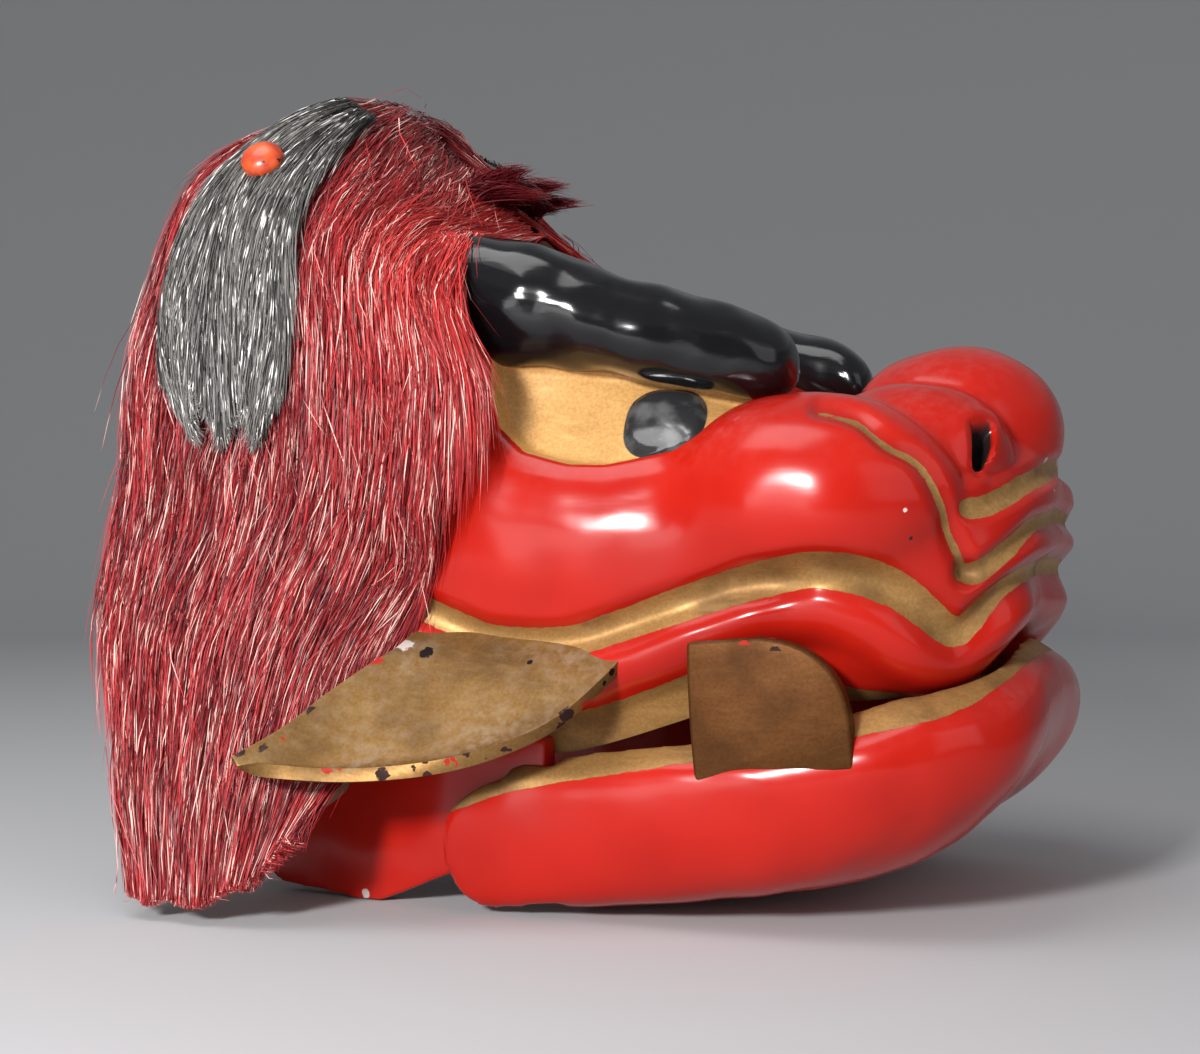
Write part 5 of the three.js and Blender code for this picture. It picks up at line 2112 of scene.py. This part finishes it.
class Finish:
    """What every finish shares: a material with one shader and the places it reads."""

    title: str = "finish"

    def material(self) -> Material:
        """Makes the material.

        Returns:
            The material, with its nodes laid.
        """
        made = bpy.data.materials.new(self.title)
        made.use_nodes = True
        made.node_tree.nodes.clear()
        board = Board(made.node_tree)
        shader = board.put("ShaderNodeBsdfPrincipled")
        board.put("ShaderNodeOutputMaterial", {"Surface": shader.outputs[0]})
        where = board.put("ShaderNodeTexCoord").outputs
        tools = {"board": board, "shader": shader, "place": where["Object"], "facing": where["Normal"]}
        for name, value in tools.items():
            object.__setattr__(self, name, value)
        self.paint()
        return made

    def paint(self) -> None:
        """Lays the nodes that each finish has of its own."""
        raise NotImplementedError

    def shared(self, name: str, **feeds: Any) -> Any:
        """Places a shared effect and returns its outputs by name."""
        feeds = {"Place": self.place, **feeds}
        return self.board.put("ShaderNodeGroup", feeds, node_tree=Effect.made[name]).outputs

    def set(self, **feeds: Any) -> None:
        """Feeds the shader's inputs, with underscores for the blanks in their names."""
        for title, value in feeds.items():
            self.board.feed(self.shader.inputs[title.replace("_", " ")], value)

    def relief(self, height: Socket) -> None:
        """Bumps the surface by heights in millimetres."""
        bump = self.board.put("ShaderNodeBump", {"Strength": 1.0, "Distance": MM, "Height": height})
        self.set(Normal=bump.outputs[0])

    def with_chip(self, colour: Socket, mark: Blemish) -> Socket:
        """Lays one chip over the colour.

        Args:
            colour: The colour so far.
            mark: The chip.

        Returns:
            The colour with the chip.
        """
        board = self.board
        feeds = {0: self.place, 1: tuple(to_frame(np.array((mark.x, mark.y, mark.z))))}
        gap = board.put("ShaderNodeVectorMath", feeds, operation="DISTANCE").outputs[1]
        ragged = board.times(board.noise(self.place, 380.0, 2.0), mark.size * MM)
        edge = board.plus(gap, ragged)
        chip = board.step(edge, mark.size * 1.25 * MM, mark.size * 1.1 * MM)
        return board.tint(chip, colour, mark.colour)


@dataclass(frozen=True)
class CarvedLacquer(Finish):
    """Glossy vermilion lacquer with gilt lines and eyes; black pupils with scuffs and a painted grey
    reflection; painted shade in carved recesses and nostril pits; a bare hollow painted near black as shade.
    """

    title: str = "vermilion lacquer"
    deep: Colour = (0.37, 0.006, 0.003, 1)
    bright: Colour = (0.47, 0.010, 0.005, 1)
    warm: Colour = (0.53, 0.026, 0.008, 1)
    recess_shade: Colour = (0.16, 0.006, 0.005, 1)
    dust: Colour = (0.44, 0.36, 0.32, 1)
    lacquer_black: Colour = (0.03, 0.03, 0.032, 1)
    scuffed_reflecting_black: Colour = (0.13, 0.13, 0.13, 1)
    metal: float = 0.4
    hollow: Colour = (0.03, 0.014, 0.010, 1)
    hollow_grain: Colour = (0.06, 0.028, 0.016, 1)

    def paint(self) -> None:
        """Lays the finish's nodes."""
        board = self.board
        cloud = board.noise(self.place, 16.0, 2.0)
        red = board.tint(board.step(cloud, 0.3, 0.7), self.deep, self.bright)
        red = board.tint(board.times(board.noise(self.place, 70.0, 2.0), 0.28), red, self.warm)
        carved = board.painted("carved")
        # Darker red in carved grooves and recesses, more so the deeper they are cut: painted shade.
        red = board.tint(board.times(board.step(carved, -1.0, -4.0), 0.5), red, self.recess_shade)
        flakes = self.shared("flaked chips", Scale=60.0, Share=0.035, Size=0.1)
        flake_colour = board.tint(board.math("GREATER_THAN", flakes["Tone"], 0.45), DARK, PALE)
        red = board.tint(flakes["Mask"], red, flake_colour)
        dusty = self.shared("settled dust", Facing=self.facing, Share=0.06)["Mask"]
        red = board.tint(dusty, red, self.dust)
        eye = board.step(board.painted("eye"), 0.0, 1.5)
        tarnish = board.blend(eye, 0.6, 0.25)
        gold = self.shared("gold paint", Tarnish=tarnish, Shade=board.blend(eye, 0.78, 1.35))
        ragged = board.times(board.math("SUBTRACT", board.noise(self.place, 240.0, 3.0), 0.5), 1.1)
        gilt = board.step(board.plus(board.painted("gilt"), ragged), -0.15, 0.2)
        colour = board.tint(gilt, red, gold["Colour"])
        pupil = board.step(board.painted("pupil"), -0.2, 0.2)
        # Grey mottle on the black pupils: partly scuffs, partly a painted reflection of their silvery gloss.
        scuff_and_reflection = board.step(board.noise(self.place, 95.0, 3.0), 0.42, 0.7)
        colour = board.tint(pupil, colour, board.tint(scuff_and_reflection, self.lacquer_black, self.scuffed_reflecting_black))
        # The shallow nostril pits are painted dark: painted shade for the depth of open nostrils.
        pit = board.step(board.painted("pit"), -0.6, 0.4)
        colour = board.tint(pit, colour, DARK)
        for mark in LACQUER_CHIPS:
            colour = self.with_chip(colour, mark)
        # The bare hollow is painted near black with a faint grain: dark wood with painted shade inside the
        # head.
        hollow = board.step(board.painted("lining"), 0.2, 0.8)
        grain = board.noise(board.stretched(self.place, (30, 300, 300), (0, 0.1, 0)), 1.0, 5.0)
        bare = board.tint(board.step(grain, 0.3, 0.7), self.hollow, self.hollow_grain)
        colour = board.tint(hollow, colour, bare)
        smooth = board.blend(cloud, 0.13, 0.3)
        smooth = board.blend(dusty, smooth, 0.6)
        rough = board.blend(gilt, smooth, gold["Roughness"])
        rough = board.blend(pupil, rough, 0.14)
        rough = board.blend(hollow, rough, 0.75)
        plain = board.math("SUBTRACT", 1.0, board.math("MAXIMUM", gilt, hollow))
        coat = board.math("MAXIMUM", board.times(plain, 0.07), board.times(pupil, 0.8))
        metal = board.times(gilt, board.blend(board.math("MAXIMUM", eye, pupil), self.metal, 0.12))
        metal = board.times(metal, board.math("SUBTRACT", 1.0, hollow))
        waves = self.shared("brushed relief", Waves=0.4, Drag=0.02)["Height"]
        gilded = board.plus(gold["Height"], board.times(waves, 0.5))
        self.relief(board.blend(gilt, waves, gilded))
        self.set(Base_Color=colour, Roughness=rough, Metallic=metal, Specular_IOR_Level=0.3)
        self.set(Coat_Weight=coat, Coat_Roughness=0.1)


@dataclass(frozen=True)
class GiltWood(Finish):
    """Brass paint over dark wood, flaked and dusty."""

    title: str = "gilt wood"
    under: Colour = (0.03, 0.012, 0.01, 1)
    red: Colour = (0.38, 0.02, 0.012, 1)
    dust: Colour = (0.5, 0.44, 0.36, 1)
    scratched: Colour = (0.16, 0.09, 0.035, 1)
    tarnish: float = 0.45
    shade: float = 0.47
    chips: float = 0.01
    edge_chips: float = 0.7
    metal: float = 0.5
    dustiness: float = 0.35
    cast: Triple = (1.0, 1.0, 1.0)
    marks: tuple[Blemish, ...] = ()

    def paint(self) -> None:
        """Lays the finish's nodes."""
        board = self.board
        gold = self.shared("gold paint", Tarnish=self.tarnish, Shade=self.shade)
        rim = board.step(board.painted("edge"), 4.5, 1.0)
        share = board.blend(rim, self.chips, self.edge_chips)
        flakes = self.shared("flaked chips", Scale=150.0, Share=share, Size=0.3)
        shown = board.tint(board.math("GREATER_THAN", flakes["Tone"], 0.7), self.under, self.red)
        feeds = {0: gold["Colour"], 1: self.cast}
        paint = board.put("ShaderNodeVectorMath", feeds, operation="MULTIPLY").outputs[0]
        colour = board.tint(flakes["Mask"], paint, shown)
        marks = self.shared("hair scratches", Share=0.5)["Mask"]
        colour = board.tint(marks, colour, self.scratched)
        dusty = self.shared("settled dust", Facing=self.facing, Share=self.dustiness)["Mask"]
        colour = board.tint(dusty, colour, self.dust)
        for mark in self.marks:
            colour = self.with_chip(colour, mark)
        bare = board.math("MAXIMUM", flakes["Mask"], dusty)
        rough = board.blend(bare, gold["Roughness"], 0.75)
        metal = board.times(board.math("SUBTRACT", 1.0, bare), self.metal)
        waves = self.shared("brushed relief", Waves=0.2, Drag=0.04)["Height"]
        self.relief(board.plus(gold["Height"], waves))
        self.set(Base_Color=colour, Roughness=rough, Metallic=metal, Specular_IOR_Level=0.15)


@dataclass(frozen=True)
class BlackLacquer(Finish):
    """Deep black lacquer with a mirror gloss, a few scuffs and dust."""

    title: str = "black lacquer"
    deep: Colour = (0.004, 0.004, 0.005, 1)
    scuffed: Colour = (0.09, 0.09, 0.095, 1)
    chipped: Colour = (0.5, 0.48, 0.46, 1)

    def paint(self) -> None:
        """Lays the finish's nodes."""
        board = self.board
        marks = self.shared("hair scratches", Share=0.06)["Mask"]
        dusty = self.shared("settled dust", Facing=self.facing, Share=0.06)["Mask"]
        flakes = self.shared("flaked chips", Scale=70.0, Share=0.012, Size=0.1)
        wear = board.math("MAXIMUM", marks, dusty)
        colour = board.tint(flakes["Mask"], board.tint(wear, self.deep, self.scuffed), self.chipped)
        rough = board.blend(board.math("MAXIMUM", wear, flakes["Mask"]), 0.15, 0.5)
        self.relief(self.shared("brushed relief", Waves=3.2, Drag=0.06)["Height"])
        self.set(Base_Color=colour, Roughness=rough, Specular_IOR_Level=0.4)
        self.set(Coat_Weight=0.2, Coat_Roughness=0.08)


@dataclass(frozen=True)
class TonguePaint(Finish):
    """Pinkish red paint with brush marks."""

    title: str = "tongue paint"
    deep: Colour = (0.40, 0.03, 0.03, 1)
    pale: Colour = (0.66, 0.13, 0.12, 1)
    dust: Colour = (0.5, 0.4, 0.36, 1)

    def paint(self) -> None:
        """Lays the finish's nodes."""
        board = self.board
        cloud = board.noise(self.place, 40.0, 4.0, 0.5)
        colour = board.tint(board.step(cloud, 0.25, 0.75), self.deep, self.pale)
        dusty = self.shared("settled dust", Facing=self.facing, Share=0.25)["Mask"]
        colour = board.tint(dusty, colour, self.dust)
        self.relief(self.shared("brushed relief", Waves=0.3, Drag=0.05)["Height"])
        self.set(Base_Color=colour, Roughness=board.blend(cloud, 0.25, 0.5))
        self.set(Coat_Weight=0.3, Coat_Roughness=0.2)


@dataclass(frozen=True)
class Hair(Finish):
    """Straight dyed hair, each strand of its own shade, with painted glints and a painted pool of light read
    from a field.
    """

    title: str = "dyed hair"
    root: Colour = (0.12, 0.009, 0.013, 1)
    tip: Colour = (0.78, 0.052, 0.058, 1)
    lit_colour: Colour = (0.88, 0.055, 0.045, 1)
    glint: Colour = (1.0, 0.62, 0.54, 1)
    glints: float = 0.66
    rough: float = 0.36
    gloss: float = 0.35

    def paint(self) -> None:
        """Lays the finish's nodes."""
        board = self.board
        strand = board.painted("strand")
        tone = board.painted("tone")
        shade = board.tint(board.step(tone, 0.0, 0.8), self.root, self.tip)
        # Brighter crimson on the front of the upper mane: painted light.
        shade = board.tint(board.times(board.painted("bloom"), 0.7), shade, self.lit_colour)
        odd = board.times(board.math("FRACT", board.times(strand, 7.31)), 0.6)
        shade = board.tint(odd, shade, self.root)
        # Short pale dashes part way along some strands: painted glints, highlights painted into the colour.
        lit = board.times(board.step(tone, 0.3, 0.38), board.step(tone, 0.54, 0.46))
        pale = board.times(board.math("GREATER_THAN", strand, self.glints), lit)
        colour = board.tint(board.times(pale, 0.9), shade, self.glint)
        rough = board.blend(strand, self.rough, self.rough + 0.16)
        self.set(Base_Color=colour, Roughness=rough, Specular_IOR_Level=self.gloss)


@dataclass(frozen=True)
class Leather(Finish):
    """Brown tanned hide seen at the edges and from behind."""

    title: str = "tanned hide"
    pale: Colour = (0.30, 0.17, 0.10, 1)
    dark: Colour = (0.10, 0.04, 0.025, 1)

    def paint(self) -> None:
        """Lays the finish's nodes."""
        board = self.board
        grain = board.put("ShaderNodeTexVoronoi", {"Vector": self.place, "Scale": 520.0}).outputs["Distance"]
        cloud = board.noise(self.place, 30.0, 5.0, 0.5)
        colour = board.tint(board.step(cloud, 0.25, 0.75), self.dark, self.pale)
        self.relief(board.times(grain, 0.12))
        self.set(Base_Color=colour, Roughness=board.blend(cloud, 0.55, 0.8), Specular_IOR_Level=0.35)


@dataclass(frozen=True)
class TackPaint(Finish):
    """Orange red paint on the tack heads, worn at the rim."""

    title: str = "orange paint"
    bright: Colour = (0.72, 0.10, 0.018, 1)
    deep: Colour = (0.42, 0.035, 0.012, 1)

    def paint(self) -> None:
        """Lays the finish's nodes."""
        board = self.board
        cloud = board.noise(self.place, 160.0, 4.0)
        colour = board.tint(board.step(cloud, 0.3, 0.7), self.deep, self.bright)
        flakes = self.shared("flaked chips", Scale=260.0, Share=0.1, Size=0.2)
        colour = board.tint(flakes["Mask"], colour, DARK)
        self.relief(self.shared("brushed relief", Waves=0.2, Drag=0.03)["Height"])
        self.set(Base_Color=colour, Roughness=board.blend(cloud, 0.25, 0.45))
        self.set(Coat_Weight=0.3, Coat_Roughness=0.15)


@dataclass(frozen=True)
class RodWood(Finish):
    """Plain oiled wood of the hinge rod, with its grain along the rod."""

    title: str = "rod wood"
    pale: Colour = (0.34, 0.19, 0.085, 1)
    dark: Colour = (0.14, 0.065, 0.028, 1)

    def paint(self) -> None:
        """Lays the finish's nodes."""
        board = self.board
        grain = board.noise(board.stretched(self.place, (420, 22, 420), (0, 0, 0)), 1.0, 5.0, 0.4)
        colour = board.tint(board.step(grain, 0.3, 0.7), self.dark, self.pale)
        self.relief(board.times(grain, 0.08))
        self.set(Base_Color=colour, Roughness=board.blend(grain, 0.5, 0.7), Specular_IOR_Level=0.4)


class Lamp(NamedTuple):
    """A square soft light: its name, where it hangs and its side in metres, and its power in watts."""

    name: str
    place: Triple
    size: float
    watts: float


LAMPS = (
    Lamp("key", (-0.04, -1.05, 0.47), 0.14, 13.0),
    Lamp("sky", (-0.25, -0.45, 1.3), 0.7, 6.0),
    Lamp("fill", (1.2, -0.7, 0.6), 0.9, 2.2),
    Lamp("low", (-0.3, -1.3, 0.1), 0.5, 2.6),
)


@dataclass
class Studio:
    """A pale sweep all round, soft lights and the camera at the photograph's angle."""

    target_mm: Triple = (0.0, 0.0, 136.5)
    distance: float = 0.680
    azimuth_deg: float = 24.0
    lens: float = 50.4
    sensor: float = 36.0
    nearest: float = 0.02
    floor_radius: float = 1.6
    sweep_radius: float = 1.2
    wall: float = 1.3
    floor_sides: int = 96
    floor_gap: float = 0.0005
    tone: Colour = (0.5, 0.5, 0.51, 1)
    room: Colour = (0.9, 0.92, 0.95, 1)
    room_light: float = 0.3

    @property
    def target(self) -> Vector:
        """The middle of the picture, in the frame."""
        return Vector(to_frame(np.array(self.target_mm)))

    def floor(self) -> None:
        """Spins the floor and its round sweep."""
        sweep = Sculpture("studio_floor")
        profile = [(0.0, 0.0), (self.floor_radius * 0.5, 0.0), (self.floor_radius, 0.0)]
        for turn in np.linspace(0, math.pi / 2, 14):
            out, up = math.sin(turn), 1 - math.cos(turn)
            profile.append((self.floor_radius + self.sweep_radius * out, self.sweep_radius * up))
        profile.append((self.floor_radius + self.sweep_radius, self.wall))
        sweep.spin(profile, self.floor_sides)
        sweep.move((0, 0, CAD_BOX[0][2] - self.floor_gap))
        piece = sweep.piece(None)
        paper = bpy.data.materials.new("studio paper")
        paper.use_nodes = True
        shader = paper.node_tree.nodes["Principled BSDF"]
        shader.inputs["Base Color"].default_value = self.tone
        shader.inputs["Roughness"].default_value = 0.9
        shader.inputs["Specular IOR Level"].default_value = 0.2
        piece.data.materials.append(paper)

    def hang(self, lamp: Lamp) -> None:
        """Hangs one light that looks at the head.

        Args:
            lamp: The light.
        """
        light = bpy.data.lights.new(lamp.name, "AREA")
        light.size = lamp.size
        light.energy = lamp.watts
        hung = bpy.data.objects.new(lamp.name, light)
        hung.location = lamp.place
        hung.rotation_euler = (self.target - Vector(lamp.place)).to_track_quat("-Z", "Y").to_euler()
        bpy.context.scene.collection.objects.link(hung)

    def camera(self) -> None:
        """Sets the camera level with the middle of the head."""
        turn = math.radians(self.azimuth_deg)
        lens = bpy.data.cameras.new("camera")
        lens.lens = self.lens
        lens.sensor_width = self.sensor
        lens.clip_start = self.nearest
        stand = bpy.data.objects.new("camera", lens)
        away = Vector((math.sin(turn), -math.cos(turn), 0)) * self.distance
        stand.location = self.target + away
        stand.rotation_euler = (-away).to_track_quat("-Z", "Y").to_euler()
        bpy.context.scene.collection.objects.link(stand)
        bpy.context.scene.camera = stand

    def build(self) -> None:
        """Sets up the studio."""
        self.floor()
        self.camera()
        for lamp in LAMPS:
            self.hang(lamp)
        world = bpy.data.worlds.new("pale room")
        world.use_nodes = True
        colour, strength = world.node_tree.nodes["Background"].inputs[:2]
        colour.default_value = self.room
        strength.default_value = self.room_light
        bpy.context.scene.world = world
        bpy.context.scene.view_settings.view_transform = "Standard"


class Body(Enum):
    """The rigid bodies that pieces move with."""

    HEAD = "head"
    JAW = "jaw"


def settle(
    piece: Piece, finish: Material | None, body: Body, nodes: Sequence[str]
) -> None:
    """Dresses a piece, gives it its body and hides the imported nodes that it stands for.

    Args:
        piece: The piece.
        finish: Its material, or None where it has its own already.
        body: The body that it moves with.
        nodes: Nodes that it stands for.
    """
    if finish is not None:
        piece.data.materials.clear()
        piece.data.materials.append(finish)
    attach(piece, body.value)
    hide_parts(*nodes)
    LOG.info("%s: %d faces, rides on %s", piece.name, len(piece.data.polygons), body.value)


def main() -> None:
    """Builds the studio and every piece in order."""
    logging.basicConfig(level=logging.INFO, format="%(name)s %(message)s")
    for effect in (brushed_relief, hair_scratches, flaked_chips, settled_dust, gold_paint):
        effect()
    Studio().build()
    lacquer = CarvedLacquer().material()
    head, *plates = HeadCarving().build()
    for piece in (head, *plates):
        settle(piece, lacquer, Body.HEAD, ["head_shell"])
    settle(LowerJaw().build(), lacquer, Body.JAW, ["lower_jaw"])
    settle(Tongue().build(), TonguePaint().material(), Body.JAW, ["tongue"])
    black = BlackLacquer().material()
    gilt = GiltWood(marks=EAR_CHIPS).material()
    brown = GiltWood("brown gilt wood", shade=0.21, tarnish=0.4, dustiness=0.06, cast=(1.0, 0.68, 0.5))
    brown_gilt = brown.material()
    tack_paint = TackPaint().material()
    for side, piece in Tusks().build().items():
        settle(piece, brown_gilt, Body.JAW, [f"tusk_{side.word}"])
    for side, piece in Brows().build(head).items():
        settle(piece, black, Body.HEAD, [f"brow_{side.word}"])
    for side, piece in Ears().build().items():
        settle(piece, gilt, Body.HEAD, [f"ear_{side.word}"])
    dyed = Hair().material()
    grey = Hair(
        "dark hair",
        root=(0.025, 0.024, 0.023, 1),
        tip=(0.3, 0.28, 0.26, 1),
        lit_colour=(0.1, 0.1, 0.1, 1),
        glint=(1.0, 0.97, 0.92, 1),
        glints=0.55,
        rough=0.32,
    ).material()
    # The short under-hair on the hide is painted much darker than the long locks: partly its own deep tone,
    # partly painted shade deep under the locks.
    under = Hair(
        "shaded undercoat", root=(0.05, 0.004, 0.006, 1), tip=(0.16, 0.010, 0.014, 1), rough=0.7, gloss=0.05
    ).material()
    settle(Hide().build(under, Leather().material()), None, Body.HEAD, ["mane"])
    settle(Forelock().build(), dyed, Body.HEAD, ["mane"])
    for side in Side:
        settle(Fur().build(side), dyed, Body.HEAD, ["mane"])
        patch = DarkPatch()
        settle(patch.skin(side), grey, Body.HEAD, [f"hair_patch_{side.word}"])
        settle(patch.build(side), grey, Body.HEAD, [f"hair_patch_{side.word}"])
    for side, piece in Tacks().build().items():
        settle(piece, tack_paint, Body.HEAD, [f"tack_{side.word}"])
    rod = frame["nodes"]["hinge_rod"]
    rod.data.materials.clear()
    rod.data.materials.append(RodWood().material())


if __name__ == "__main__":
    main()
